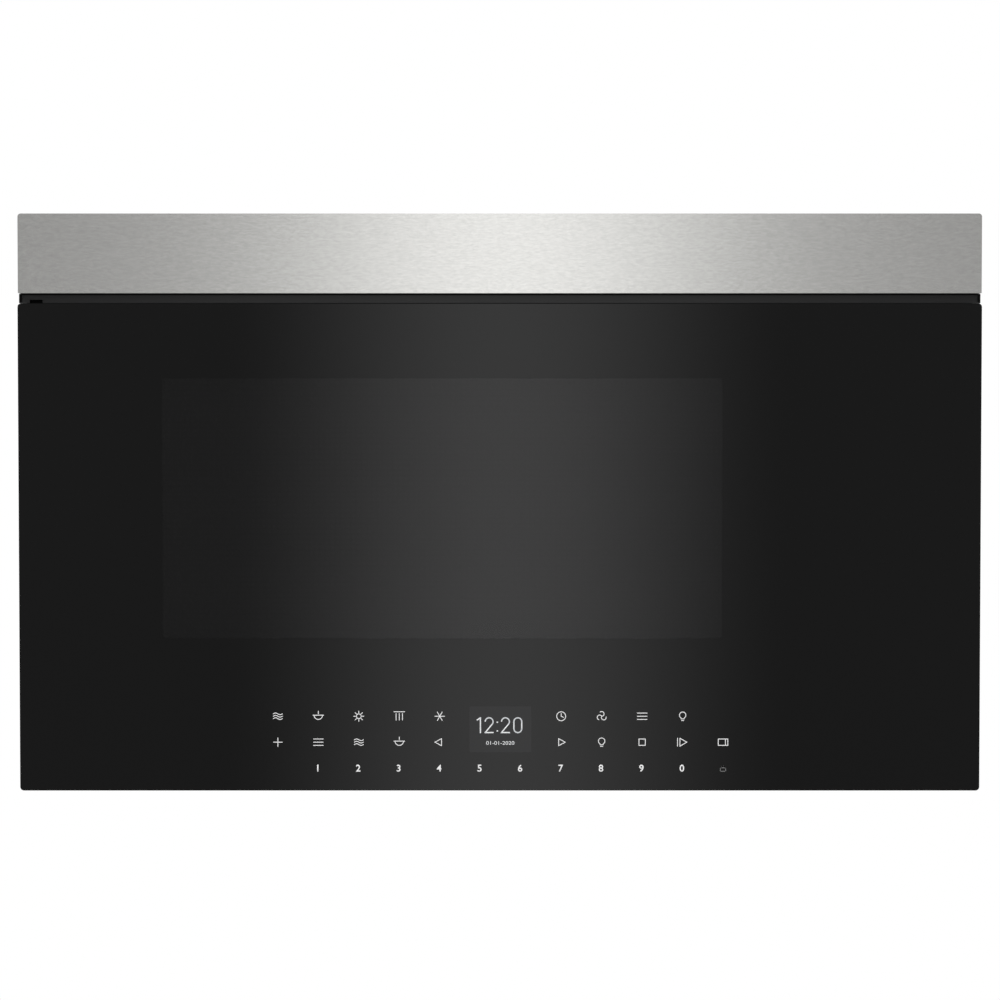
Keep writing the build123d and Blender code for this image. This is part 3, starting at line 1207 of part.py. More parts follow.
def blower_housing():
    """Two scroll chambers with inlets at their outer ends, joined round the motor."""
    y, z = blower_axis()
    outer = WHEEL_R + SCROLL_GAP + SCROLL_WALL
    half_y = OUTLET_DEPTH / 2
    x_motor = BLOWER_MOTOR_LENGTH / 2
    housing = block(-x_motor, x_motor, y - half_y, y + half_y, BLOWER_Z - SCROLL_WALL, BLOWER_Z)
    housing += block(-x_motor, x_motor, y - half_y / 3, y + half_y / 3, z - BLOWER_MOTOR_R - SCROLL_WALL,
                     z - BLOWER_MOTOR_R)
    for side in (-1, 1):
        x0 = min(side * x_motor, side * OUTLET_WIDTH / 2)
        x1 = max(side * x_motor, side * OUTLET_WIDTH / 2)
        chamber = rod(outer, (x0, y, z), (x1, y, z)) + block(x0, x1, y - half_y, y + half_y, z, BLOWER_Z)
        x0 += SCROLL_WALL
        x1 -= SCROLL_WALL
        chamber -= rod(outer - SCROLL_WALL, (x0, y, z), (x1, y, z))
        chamber -= block(x0, x1, y - half_y + SCROLL_WALL, y + half_y - SCROLL_WALL, z, BLOWER_Z + SHEET)
        inlet = side * OUTLET_WIDTH / 2
        chamber -= rod(WHEEL_R * INLET_SHARE, (inlet - 2 * SCROLL_WALL, y, z),
                       (inlet + 2 * SCROLL_WALL, y, z))
        chamber -= rod(SHAFT_R + SHEET, (-OUTLET_WIDTH / 2, y, z), (OUTLET_WIDTH / 2, y, z))
        housing += chamber
    return housing


def blower_motor():
    """The double ended motor between the blower's chambers."""
    y, z = blower_axis()
    half = BLOWER_MOTOR_LENGTH / 2 - FIT
    body = rod(BLOWER_MOTOR_R, (-half, y, z), (half, y, z))
    return body - rod(SHAFT_R + SHAFT_RUN, (-half - SHEET, y, z), (half + SHEET, y, z))


def blower_wheels():
    """The two drum wheels with forward blades, on the shaft through the motor."""
    y, z = blower_axis()
    x_in = BLOWER_MOTOR_LENGTH / 2 + SCROLL_WALL + SCROLL_GAP
    x_out = OUTLET_WIDTH / 2 - SCROLL_WALL - SCROLL_GAP
    length = x_out - x_in
    drum = Pos(0, 0, WHEEL_DISC / 2) * Cylinder(WHEEL_R, WHEEL_DISC)
    blade = Pos(WHEEL_R - WHEEL_BLADE, 0, length / 2) * Rot(0, 0, BLADE_TWIST) * Box(
        WHEEL_BLADE, WHEEL_DISC / 2, length - WHEEL_DISC)
    drum += blades_about(WHEEL_BLADES, blade)
    rim = Cylinder(WHEEL_R, WHEEL_DISC) - Cylinder(WHEEL_R - WHEEL_RIM, 2 * WHEEL_DISC)
    drum += Pos(0, 0, length - WHEEL_DISC / 2) * rim
    wheels = rod(SHAFT_R, (-x_out, y, z), (x_out, y, z))
    for side in (-1, 1):
        wheels += Pos(side * x_in, y, z) * Rot(0, side * 90, 0) * drum
    return wheels


def flap_pivot():
    """The damper flap's hinge line in Y and Z."""
    return -BLOWER_Y + OUTLET_DEPTH / 2 - FIT - SHEET - FLAP_EDGE, HEIGHT - DAMPER_HEIGHT / 2


def damper_frame():
    """The collar in the exhaust outlet that carries the damper flap."""
    y = -BLOWER_Y
    half_x = OUTLET_WIDTH / 2 - FIT
    half_y = OUTLET_DEPTH / 2 - FIT
    collar = block(-half_x, half_x, y - half_y, y + half_y, BLOWER_Z, HEIGHT)
    collar += block(-half_x - FLANGE / 2, half_x + FLANGE / 2, y - half_y - FLANGE / 2,
                    y + half_y + FLANGE / 2,
                    CASE_TOP, HEIGHT)
    collar -= block(-half_x + SHEET, half_x - SHEET, y - half_y + SHEET, y + half_y - SHEET,
                    BLOWER_Z - SHEET,
                    HEIGHT + SHEET)
    pivot_y, pivot_z = flap_pivot()
    reach = half_x + SHEET
    collar -= rod(FLAP_PIN_R + PIN_RUN, (-reach, pivot_y, pivot_z), (reach, pivot_y, pivot_z))
    stop = pivot_z - FLAP_THICK / 2 - FIT
    return collar + block(-half_x, half_x, y - half_y, y - half_y + SHEET + FLAP_EDGE, stop - SHEET, stop)


def damper_flap():
    """The flap that opens upward when the blower runs and falls shut when it stops."""
    pivot_y, pivot_z = flap_pivot()
    half_x = OUTLET_WIDTH / 2 - FIT
    front = -BLOWER_Y - OUTLET_DEPTH / 2 + FIT + 2 * SHEET
    flap = block(-half_x + 2 * SHEET, half_x - 2 * SHEET, front, pivot_y + FLAP_EDGE / 2,
                 pivot_z - FLAP_THICK / 2, pivot_z + FLAP_THICK / 2)
    return flap + rod(FLAP_PIN_R, (-half_x + FIT, pivot_y, pivot_z), (half_x - FIT, pivot_y, pivot_z))


def charcoal_filter():
    """The charcoal filter under the top, behind the vent panel."""
    w, d, h = CHARCOAL_SIZE
    y1 = FRAME_BACK + CHARCOAL_SETBACK + d
    z1 = CASE_CEILING - FIT
    body = block(-w / 2, w / 2, y1 - d, y1, z1 - h, z1)
    return body - block(-w / 2 + FRAME_EDGE, w / 2 - FRAME_EDGE, y1 - d + FRAME_EDGE, y1 - FRAME_EDGE,
                        z1 - h,
                        z1 - h + 2 * SHEET)


def grease_filter(side):
    """One grease filter in the base: an edge frame, its mesh and a pull tab, turning on two stub pins."""
    x0, x1, y0, y1 = filter_bay(side)
    z0 = BASE_Z
    z1 = BASE_Z + FILTER_THICK
    body = block(x0, x1, y0, y1, z0, z1)
    pocket = (FILTER_THICK - FILTER_MESH) / 2
    for low, high in ((z0 - SHEET, z0 + pocket), (z1 - pocket, z1 + SHEET)):
        body -= block(x0 + FRAME_EDGE, x1 - FRAME_EDGE, y0 + FRAME_EDGE, y1 - FRAME_EDGE, low, high)
    body += block(side * FILTER_X - TAB_HALF, side * FILTER_X + TAB_HALF, y0 + SHEET, y0 + FRAME_EDGE,
                  SHEET, z0)
    reach = FILTER_CLEAR + SHEET
    pivot = (FILTER_PIVOT_Y, FILTER_PIVOT_Z)
    pin = rod(TRUNNION_R, (x0 - reach, *pivot), (x1 + reach, *pivot))
    return body + pin


def lamp_lenses():
    """The two lenses that fill the lamp openings in the base."""
    lenses = []
    for side in (-1, 1):
        plug = block(*lamp_bay(side, -LENS_LAND - FIT), BASE_Z, BASE_TOP)
        lenses.append(plug + block(*lamp_bay(side), BASE_TOP, BASE_TOP + LENS_THICK))
    return solids_of(*lenses)


def cooktop_lamps():
    """The two lamps over the lenses that light the cooktop."""
    lamps = []
    for side in (-1, 1):
        z0 = BASE_TOP + LENS_THICK
        lamp = block(*lamp_bay(side, -LENS_LAND), z0, z0 + LAMP_HEIGHT)
        lamps.append(lamp - block(*lamp_bay(side, -LENS_LAND - SHEET), z0 - SHEET,
                                  z0 + LAMP_HEIGHT - SHEET))
    return solids_of(*lamps)


# --- screws ---


def flat_screw(head, direction, grow=0.0):
    """A countersunk screw whose head lies flush at the point; grown, it cuts its own hole."""
    d = Vector(*direction)
    h = Vector(*head)
    plane = Plane(origin=h, z_dir=d)
    stand = (Align.CENTER, Align.CENTER, Align.MIN)
    cone = plane * Cone(SCREW_HEAD_R + grow, SCREW_R + grow, SINK, align=stand)
    return cone + rod(SCREW_R + grow, h, h + d * SCREW_LENGTH)


def case_screws():
    """The flush screws of the outer case and vent panel."""
    top, sides = case_screw_points()
    found = [flat_screw(p, (0, 0, -1)) for p in top]
    found += [flat_screw(p, (-math.copysign(1, p[0]), 0, 0)) for p in sides]
    return solids_of(*found)


def pan_head_screws():
    """The screws at the rear edge of the base pan and through the vent deflector's flange."""
    found = [screw(p, (0, 0, 1)) for p in base_screw_points()]
    found += [screw(p, (0, 1, 0)) for p in deflector_screw_points()]
    return solids_of(*found)


NODES = {
    "wall_plate": wall_plate(),
    "rear_panel": rear_panel(),
    "outer_case": outer_case(),
    "cord_gland": cord_gland(),
    "base_pan": base_pan(),
    "component_shelf": component_shelf(),
    "front_frame": front_frame(),
    "vent_panel": vent_panel(),
    "vent_deflector": vent_deflector(),
    "hinge_brackets": hinge_brackets(),
    "hinge_pins": hinge_pins(),
    "door_glass": door_glass(),
    "door_frame": door_frame(),
    "door_choke": door_choke(),
    "choke_cover": choke_cover(),
    "door_screen": door_screen(),
    "door_inner_glass": door_inner_glass(),
    "touch_board": touch_board(),
    "display_module": display_module(),
    "latch_lever": latch_lever(),
    "latch_spring": latch_spring(),
    "cavity_shell": cavity_shell(),
    "floor_plate": floor_plate(),
    "rack_supports": rack_supports(),
    "waveguide": waveguide(),
    "stirrer": stirrer(),
    "stirrer_motor": stirrer_motor(),
    "magnetron": magnetron(),
    "hv_transformer": hv_transformer(),
    "hv_capacitor": hv_capacitor(),
    "cooling_fan_housing": cooling_fan_housing(),
    "cooling_fan_motor": cooling_fan_motor(),
    "cooling_fan": cooling_fan(),
    "convection_housing": convection_housing(),
    "convection_heater": convection_heater(),
    "convection_motor": convection_motor(),
    "convection_fan": convection_fan(),
    "grill_reflector": grill_reflector(),
    "grill_element": grill_element(),
    "cavity_lamp": cavity_lamp(),
    "board_bracket": board_bracket(),
    "control_board": control_board(),
    "noise_filter": noise_filter(),
    "latch_board": latch_board(),
    "interlock_switches": interlock_switches(),
    "switch_plungers": switch_plungers(),
    "release_solenoid": release_solenoid(),
    "release_plunger": release_plunger(),
    "blower_housing": blower_housing(),
    "blower_motor": blower_motor(),
    "blower_wheels": blower_wheels(),
    "damper_frame": damper_frame(),
    "damper_flap": damper_flap(),
    "charcoal_filter": charcoal_filter(),
    "grease_filter_left": grease_filter(-1),
    "grease_filter_right": grease_filter(1),
    "lamp_lenses": lamp_lenses(),
    "cooktop_lamps": cooktop_lamps(),
    "case_screws": case_screws(),
    "pan_head_screws": pan_head_screws(),
}

os.makedirs("parts", exist_ok=True)
for name, shape in NODES.items():
    export_step(shape, f"parts/{name}.step")
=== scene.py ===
import math
import json

import bmesh
import bpy
from mathutils import Euler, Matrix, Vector


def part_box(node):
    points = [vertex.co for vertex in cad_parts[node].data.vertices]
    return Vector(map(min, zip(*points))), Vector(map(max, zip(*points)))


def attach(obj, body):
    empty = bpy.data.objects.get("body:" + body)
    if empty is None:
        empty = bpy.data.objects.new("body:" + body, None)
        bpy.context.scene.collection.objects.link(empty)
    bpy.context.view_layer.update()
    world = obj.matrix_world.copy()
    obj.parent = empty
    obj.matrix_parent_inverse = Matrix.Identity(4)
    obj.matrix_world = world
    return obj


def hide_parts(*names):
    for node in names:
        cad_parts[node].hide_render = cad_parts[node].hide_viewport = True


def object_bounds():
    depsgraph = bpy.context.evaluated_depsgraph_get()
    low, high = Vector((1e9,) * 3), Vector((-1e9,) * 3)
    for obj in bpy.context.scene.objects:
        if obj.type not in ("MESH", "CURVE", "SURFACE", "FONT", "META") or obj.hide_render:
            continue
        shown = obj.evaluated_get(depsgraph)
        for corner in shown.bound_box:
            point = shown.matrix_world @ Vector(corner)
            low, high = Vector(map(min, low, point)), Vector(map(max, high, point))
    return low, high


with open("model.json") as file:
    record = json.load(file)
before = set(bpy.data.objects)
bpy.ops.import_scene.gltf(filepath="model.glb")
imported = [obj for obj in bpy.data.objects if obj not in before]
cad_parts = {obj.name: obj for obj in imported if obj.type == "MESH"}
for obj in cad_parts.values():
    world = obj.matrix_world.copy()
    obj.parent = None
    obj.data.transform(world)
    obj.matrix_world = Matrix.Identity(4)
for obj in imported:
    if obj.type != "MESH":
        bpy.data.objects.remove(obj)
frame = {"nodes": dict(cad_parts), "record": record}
CAD_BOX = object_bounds()
NODES = frame["nodes"]

# --- camera: the photograph's view, square on and slightly from above ---
CAMERA_DISTANCE = 2.2
CAMERA_PITCH = math.radians(1.92)
AIM_X = 0.0002
AIM_Z = 0.2304
FOCAL_MM = 100.3
SENSOR_MM = 36.0
FRONT_Y = CAD_BOX[0][1]


def add_camera():
    """Places the camera so that the front plane is CAMERA_DISTANCE away along its axis."""
    data = bpy.data.cameras.new("camera")
    data.lens = FOCAL_MM
    data.sensor_width = SENSOR_MM
    data.clip_end = 50.0
    camera = bpy.data.objects.new("camera", data)
    bpy.context.scene.collection.objects.link(camera)
    back = CAMERA_DISTANCE * math.cos(CAMERA_PITCH)
    up = CAMERA_DISTANCE * math.sin(CAMERA_PITCH)
    camera.location = (AIM_X, FRONT_Y - back, AIM_Z + up)
    camera.rotation_euler = Euler((math.pi / 2 - CAMERA_PITCH, 0, 0))
    bpy.context.scene.camera = camera


add_camera()

# --- materials ---


class Graph:
    """A node tree, with short calls that add, set and link its nodes."""

    def __init__(self, tree):
        self.tree = tree

    def add(self, kind, **settings):
        node = self.tree.nodes.new(kind)
        for key, value in settings.items():
            setattr(node, key, value)
        return node

    def link(self, source, target):
        self.tree.links.new(source, target)


def set_inputs(node, **values):
    """Sets inputs by their names, with an underscore for each space."""
    for key, value in values.items():
        node.inputs[key.replace("_", " ")].default_value = value


class Nodes(Graph):
    """A material's node tree with short names for what the materials here need."""

    def __init__(self, name):
        self.material = bpy.data.materials.new(name)
        self.material.use_nodes = True
        super().__init__(self.material.node_tree)
        self.shader = self.tree.nodes["Principled BSDF"]
        self.coords = self.add("ShaderNodeTexCoord").outputs["Object"]

    def set(self, **values):
        set_inputs(self.shader, **values)

    def colour(self, source):
        """Drives the base colour."""
        self.link(source, self.shader.inputs["Base Color"])

    def roughness(self, factor, low, high):
        """Drives the roughness between two values by a factor."""
        node = self.add("ShaderNodeMapRange")
        set_inputs(node, To_Min=low, To_Max=high)
        self.link(factor, node.inputs["Value"])
        self.link(node.outputs["Result"], self.shader.inputs["Roughness"])

    def noise(self, scale, detail=3.0, stretch=(1, 1, 1)):
        """A noise texture, its coordinates stretched along the axes."""
        mapping = self.add("ShaderNodeMapping")
        set_inputs(mapping, Scale=stretch)
        self.link(self.coords, mapping.inputs["Vector"])
        texture = self.add("ShaderNodeTexNoise")
        set_inputs(texture, Scale=scale, Detail=detail)
        self.link(mapping.outputs["Vector"], texture.inputs["Vector"])
        return texture.outputs["Fac"]

    def ramp(self, factor, low, high, start=0.3, end=0.7):
        """A colour between low and high by a factor."""
        node = self.add("ShaderNodeValToRGB")
        node.color_ramp.elements[0].color = low
        node.color_ramp.elements[0].position = start
        node.color_ramp.elements[1].color = high
        node.color_ramp.elements[1].position = end
        self.link(factor, node.inputs["Fac"])
        return node.outputs["Color"]

    def bump(self, height, strength, distance):
        """Raises the surface by a height, with its distance in metres."""
        node = self.add("ShaderNodeBump")
        set_inputs(node, Strength=strength, Distance=distance)
        self.link(height, node.inputs["Height"])
        self.link(node.outputs["Normal"], self.shader.inputs["Normal"])


def rgba(r, g, b):
    return (r, g, b, 1.0)


def grey(level):
    return rgba(level, level, level)


def shade(colour, factor):
    """A colour made lighter or darker."""
    return rgba(*(channel * factor for channel in colour))


def shades(colour, spread):
    """A colour's darker and lighter ends, each a share of it away."""
    return shade(colour, 1 - spread), shade(colour, 1 + spread)


# Noise scales count features per metre, and bump depths are in metres.
STREAK_SCALE = 900.0
STREAK_DEPTH = 0.00004
CLOUD_SCALE = 5.0
PAINT_GRAIN = 900.0
PAINT_DEPTH = 0.00004
WEAR_SCALE = 9.0
PLASTIC_GRAIN = 1500.0
PLASTIC_DEPTH = 0.00003
TONE_SCALE = 14.0
SPANGLE_SCALE = 170.0
SPANGLE_SHADES = (rgba(0.47, 0.48, 0.49), rgba(0.53, 0.54, 0.55))
ZINC_SCALE = 300.0
FLECK_SCALE = 1400.0
FLECK_SHADES = (rgba(0.055, 0.055, 0.06), rgba(0.34, 0.34, 0.35))
FLECK_SPAN = (0.6, 0.72)
ENAMEL_SCALE = 40.0
SHEET_DEPTH = 0.00005
HAZE_SCALE = 3.0
HAZE_DEPTH = 0.0004
INK_SCALE = 500.0


def brushed(name, colour, roughness, stretch, metallic=1.0, contrast=0.045):
    """Brushed metal: fine streaks along one axis in colour and height, and a cloudy roughness."""
    n = Nodes(name)
    n.set(Metallic=metallic)
    streaks = n.noise(STREAK_SCALE, detail=4.0, stretch=stretch)
    n.colour(n.ramp(streaks, *shades(colour, contrast)))
    n.roughness(n.noise(CLOUD_SCALE, detail=2.0), roughness * 0.95, roughness * 1.05)
    n.bump(streaks, 0.06, STREAK_DEPTH)
    return n.material


def painted(name, colour, roughness=0.42):
    """Sheet metal with a satin paint that has a slight orange peel."""
    n = Nodes(name)
    n.set(Specular_IOR_Level=0.5)
    wear = n.noise(WEAR_SCALE, detail=4.0)
    n.colour(n.ramp(wear, *shades(colour, 0.1)))
    n.roughness(wear, roughness * 0.88, roughness * 1.12)
    n.bump(n.noise(PAINT_GRAIN, detail=2.0), 0.25, PAINT_DEPTH)
    return n.material


def moulded(name, colour, roughness=0.5, grain=PLASTIC_GRAIN, depth=PLASTIC_DEPTH, ior=1.5):
    """Moulded plastic with a fine spark grain."""
    n = Nodes(name)
    n.set(IOR=ior)
    spark = n.noise(grain)
    n.colour(n.ramp(n.noise(TONE_SCALE, detail=2.0), *shades(colour, 0.08)))
    n.roughness(spark, roughness * 0.85, roughness * 1.1)
    n.bump(spark, 0.3, depth)
    return n.material


def galvanised(name):
    """Zinc coated sheet with its soft spangle."""
    n = Nodes(name)
    n.set(Metallic=0.9)
    cells = n.add("ShaderNodeTexVoronoi")
    set_inputs(cells, Scale=SPANGLE_SCALE)
    n.link(n.coords, cells.inputs["Vector"])
    spangle = n.add("ShaderNodeSeparateColor")
    n.link(cells.outputs["Color"], spangle.inputs["Color"])
    n.colour(n.ramp(spangle.outputs["Red"], *SPANGLE_SHADES, 0.0, 1.0))
    n.roughness(spangle.outputs["Green"], 0.4, 0.47)
    n.bump(n.noise(ZINC_SCALE), 0.15, SHEET_DEPTH)
    return n.material


def enamel(name):
    """Grey cavity enamel with pale flecks."""
    n = Nodes(name)
    flecks = n.noise(FLECK_SCALE, detail=1.0)
    n.colour(n.ramp(flecks, *FLECK_SHADES, *FLECK_SPAN))
    n.roughness(n.noise(ENAMEL_SCALE), 0.2, 0.34)
    n.bump(flecks, 0.15, SHEET_DEPTH)
    return n.material


def glassy(name, colour, roughness, alpha=1.0, ior=1.5):
    """Flat glass or glazing, with a trace of waviness."""
    n = Nodes(name)
    n.set(Roughness=roughness, Alpha=alpha, IOR=ior)
    haze = n.noise(HAZE_SCALE, detail=2.0)
    n.colour(n.ramp(haze, *shades(colour, 0.05)))
    n.bump(haze, 0.02, HAZE_DEPTH)
    return n.material


def glowing(name, colour, strength, roughness=0.5):
    """Printed or lit legends on the door glass."""
    n = Nodes(name)
    n.set(Roughness=roughness, Emission_Strength=strength, Emission_Color=rgba(*colour))
    n.colour(n.ramp(n.noise(INK_SCALE, detail=1.0), shade(colour, 0.97), shade(colour, 1.0)))
    return n.material


STEEL = brushed("brushed_steel", (0.676, 0.673, 0.654), 0.238, (0.3, 1.0, 1.0), 0.95, contrast=0.06)
BRIGHT = brushed("zinc_steel", (0.62, 0.62, 0.6), 0.3, (1.0, 1.0, 0.1))
ALUMINIUM = brushed("mill_aluminium", (0.78, 0.78, 0.79), 0.36, (0.1, 1.0, 1.0))
GALVANISED = galvanised("galvanised_sheet")
PAINT = painted("dark_grey_paint", (0.045, 0.046, 0.048))
ENAMEL = enamel("cavity_enamel")
BLACK_GLASS = glassy("black_glass", (0.0034, 0.0034, 0.0034), 0.03, ior=1.345)
WINDOW_GLASS = glassy("window_glass", (0.0048, 0.0048, 0.0049), 0.03, 0.7, ior=1.46)
CLEAR_GLASS = glassy("clear_glass", (0.5, 0.55, 0.53), 0.03, 0.18)
FROSTED = glassy("frosted_glass", (0.8, 0.8, 0.79), 0.45)
CERAMIC = glassy("ceramic_floor", (0.03, 0.03, 0.031), 0.16)
BLACK_PLASTIC = moulded("black_plastic", (0.012, 0.012, 0.0125), 0.42)
SCOOP_PLASTIC = moulded("scoop_plastic", (0.0195, 0.0195, 0.0198), 0.3, 1100.0, ior=1.36)
# Matt black of the hinges and the glass rim, and also the colour of the gap strips that paint the gap's
# shade.
MATT_BLACK_AND_PAINTED_SHADE = moulded("matt_black_and_painted_shade", (0.003, 0.003, 0.003), 0.7, ior=1.15)
RACK_PLASTIC = moulded("rack_plastic", (0.07, 0.07, 0.07), 0.3)
SCREEN_BLACK = painted("screen_black", (0.012, 0.012, 0.012), 0.5)
WHITE_PLASTIC = moulded("white_plastic", (0.72, 0.71, 0.68), 0.45)
BOARD_GREEN = moulded("board_green", (0.02, 0.11, 0.045), 0.3, 400.0)
COPPER = moulded("winding_varnish", (0.35, 0.12, 0.035), 0.25, 700.0, 0.0001)
CHARCOAL = moulded("charcoal_granules", (0.012, 0.012, 0.012), 0.8, 260.0, 0.0008)
LEGEND = glowing("legend_white", (0.78, 0.78, 0.78), 0.3)
LEGEND_DIM = glowing("legend_dim", (0.22, 0.22, 0.22), 0.0)
CLOCK = glowing("clock_digits", (0.76, 0.77, 0.78), 0.22)
DISPLAY = glassy("display_window", (0.0125, 0.0125, 0.0132), 0.08, ior=1.345)

FINISHES = {
    "stainless": STEEL,
    "black_glass": BLACK_GLASS,
    "clear_glass": CLEAR_GLASS,
    "black_plastic": BLACK_PLASTIC,
    "dark_grey_paint": PAINT,
    "galvanised": GALVANISED,
    "enamel": ENAMEL,
    "ceramic_floor": CERAMIC,
    "white_plastic": WHITE_PLASTIC,
    "steel": BRIGHT,
    "aluminium": ALUMINIUM,
    "copper_winding": COPPER,
    "board_green": BOARD_GREEN,
    "charcoal": CHARCOAL,
    "frosted_glass": FROSTED,
    "display_black": DISPLAY,
}


def finish_cad_nodes():
    """Gives every carried-over node the finish of its record slot."""
    slots = {row["node"]: row["material_slot"] for row in frame["record"]["subparts"]}
    for name, obj in NODES.items():
        obj.data.materials.clear()
        obj.data.materials.append(FINISHES[slots[name]])
    NODES["vent_deflector"].data.materials[0] = SCOOP_PLASTIC
    for name in ("hinge_brackets", "hinge_pins"):
        NODES[name].data.materials[0] = MATT_BLACK_AND_PAINTED_SHADE
    NODES["rack_supports"].data.materials[0] = RACK_PLASTIC


finish_cad_nodes()

# --- mesh helpers ---


def new_piece(name, bm, body, slot, *materials):
    """Makes an object from a bmesh, puts it on a body and gives it its finish."""
    mesh = bpy.data.meshes.new(name)
    bm.normal_update()
    bm.to_mesh(mesh)
    bm.free()
    obj = bpy.data.objects.new(name, mesh)
    bpy.context.scene.collection.objects.link(obj)
    for material in materials:
        mesh.materials.append(material)
    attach(obj, body)
    return obj


def add_box(bm, low, high):
    """Adds a closed box between two corners."""
    made = bmesh.ops.create_cube(bm, size=1.0)
    bmesh.ops.scale(bm, vec=Vector(high) - Vector(low), verts=made["verts"])
    bmesh.ops.translate(bm, vec=(Vector(high) + Vector(low)) / 2, verts=made["verts"])


def rounded_outline(x0, x1, z0, z1, radius, steps=6):
    """The points of a rectangle with round corners, as (x, z)."""
    points = []
    corners = ((x1 - radius, z1 - radius, 0), (x0 + radius, z1 - radius, 90), (x0 + radius, z0 + radius, 180),
               (x1 - radius, z0 + radius, 270))
    for cx, cz, start in corners:
        for i in range(steps + 1):
            angle = math.radians(start + 90 * i / steps)
            points.append((cx + radius * math.cos(angle), cz + radius * math.sin(angle)))
    return points


def bridge_outlines(bm, rows):
    """Faces between successive closed rows of vertices."""
    for row, following in zip(rows, rows[1:]):
        for i in range(len(row)):
            j = (i + 1) % len(row)
            bm.faces.new((row[i], row[j], following[j], following[i]))


def mesh_of_curve(source):
    """The mesh of a curve or text object, which is removed."""
    bpy.context.scene.collection.objects.link(source)
    bpy.context.view_layer.update()
    mesh = bpy.data.meshes.new_from_object(source.evaluated_get(bpy.context.evaluated_depsgraph_get()))
    bpy.data.objects.remove(source)
    bm = bmesh.new()
    bm.from_mesh(mesh)
    return bm


# --- door glass: one pane whose window stays clear of the black print ---
WINDOW_X = (-0.2667, 0.1759)
WINDOW_Z = (0.1208, 0.3263)
WINDOW_CORNER = 0.0015
PANE_CORNER = 0.003
PANE_EDGE = 0.0002
PANE_TOP_EDGE = 0.00045
INK_THICK = 0.0002
WINDOW_SLOT = 1
RIM_SLOT = 2


def door_pane():
    """The door glass: black front and back, matt black rim, and the window's faces in tinted glass."""
    low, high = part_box("door_glass")
    front = low[1] + INK_THICK
    bm = bmesh.new()
    outer = rounded_outline(low[0], high[0], low[2], high[2], PANE_CORNER)
    inset = rounded_outline(low[0] + PANE_EDGE, high[0] - PANE_EDGE, low[2] + PANE_EDGE,
                            high[2] - PANE_TOP_EDGE, PANE_CORNER - PANE_EDGE)
    window = rounded_outline(*WINDOW_X, *WINDOW_Z, WINDOW_CORNER)

    def row(points, y):
        return [bm.verts.new((x, y, z)) for x, z in points]

    window_front = row(window, front)
    window_back = row(window, high[1])
    rim = row(outer, front + PANE_EDGE)
    bridge_outlines(bm, [window_front, row(inset, front), rim, row(outer, high[1]), window_back])
    for face in bm.faces:
        if not set(rim).isdisjoint(face.verts):
            face.material_index = RIM_SLOT
    bm.faces.new(window_front[::-1]).material_index = WINDOW_SLOT
    bm.faces.new(window_back).material_index = WINDOW_SLOT
    bmesh.ops.recalc_face_normals(bm, faces=bm.faces)
    pane = new_piece("glass_pane", bm, "door", "black_glass", BLACK_GLASS, WINDOW_GLASS, MATT_BLACK_AND_PAINTED_SHADE)
    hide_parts("door_glass")


door_pane()

# --- legends on the glass: plain digits, arrows and generic signs in place of words ---
KEY_PITCH = 0.03205
KEY_FIRST_X = -0.1757
ROW_TOP = 0.0591
ROW_MIDDLE = 0.0385
ROW_BOTTOM = 0.0179
DIGIT_HEIGHT = 0.0054
DIGIT_SHIFT = -0.0005
SIGN = 0.0042
WAVE_STEPS = 16
LINE = 0.00055
ARROW_TIP = 0.0032
ARROW_BACK = 0.002
ARROW_HALF = 0.0028
ARROW_SHIFT = -0.0006
BOLD = 0.016
LEGEND_Y = FRONT_Y + INK_THICK


def key_x(column):
    """The middle of a key's column, counted from the left."""
    return KEY_FIRST_X + column * KEY_PITCH


def text_piece(name, text, x, z, height, material, bold=BOLD, squeeze=1.0):
    """Digits cut as thin plates, lying on the glass."""
    curve = bpy.data.curves.new(name, "FONT")
    curve.body = text
    curve.align_x = "CENTER"
    curve.size = 1.0
    curve.offset = bold
    bm = mesh_of_curve(bpy.data.objects.new(name + "_curve", curve))
    scale = height / max(v.co.y for v in bm.verts)
    for v in bm.verts:
        v.co = Vector((x + v.co.x * scale * squeeze, LEGEND_Y, z + v.co.y * scale - height / 2))
    thicken(bm, bm.faces[:])
    legend_piece(name, bm, material)


def legend_piece(name, bm, material):
    """Makes one legend, which goes with the door."""
    new_piece(name, bm, "door", "white_plastic", material)


def thicken(bm, faces):
    """Turns flat faces that look forward at LEGEND_Y into closed plates that reach FRONT_Y."""
    made = bmesh.ops.extrude_face_region(bm, geom=faces)
    verts = [g for g in made["geom"] if isinstance(g, bmesh.types.BMVert)]
    bmesh.ops.translate(bm, vec=(0, -INK_THICK, 0), verts=verts)


def stroke(bm, points, width, closed=False):
    """A flat line of constant width through (x, z) points."""
    pairs = list(zip(points, points[1:]))
    if closed:
        pairs.append((points[-1], points[0]))
    for (xa, za), (xb, zb) in pairs:
        along = Vector((xb - xa, zb - za)).normalized() * width / 2
        u, w = along
        corners = ((xa - u + w, za - w - u), (xb + u + w, zb + w - u), (xb + u - w, zb + w + u),
                   (xa - u - w, za - w + u))
        thicken(bm, [bm.faces.new([bm.verts.new((x, LEGEND_Y, z)) for x, z in corners])])


def polar(radius, degrees):
    """A point at an angle, as (x, z) from the middle."""
    angle = math.radians(degrees)
    return radius * math.cos(angle), radius * math.sin(angle)


def circle_points(x, z, radius, start=0, end=360, steps=20):
    """Points on an arc, as (x, z)."""
    spokes = [polar(radius, start + (end - start) * i / steps) for i in range(steps + 1)]
    return [(x + u, z + v) for u, v in spokes]


def sketch(bm, x, z, points, closed=False):
    """A sign's line through points given in units of SIGN from its middle."""
    stroke(bm, [(x + SIGN * u, z + SIGN * v) for u, v in points], LINE, closed)


def sign_wave(bm, x, z):
    """Three wavy lines."""
    for step in (-1, 0, 1):
        turns = [i / WAVE_STEPS for i in range(WAVE_STEPS + 1)]
        sketch(bm, x, z, [(1.7 * (t - 0.5), 0.45 * step + 0.16 * math.sin(2 * math.pi * t)) for t in turns])


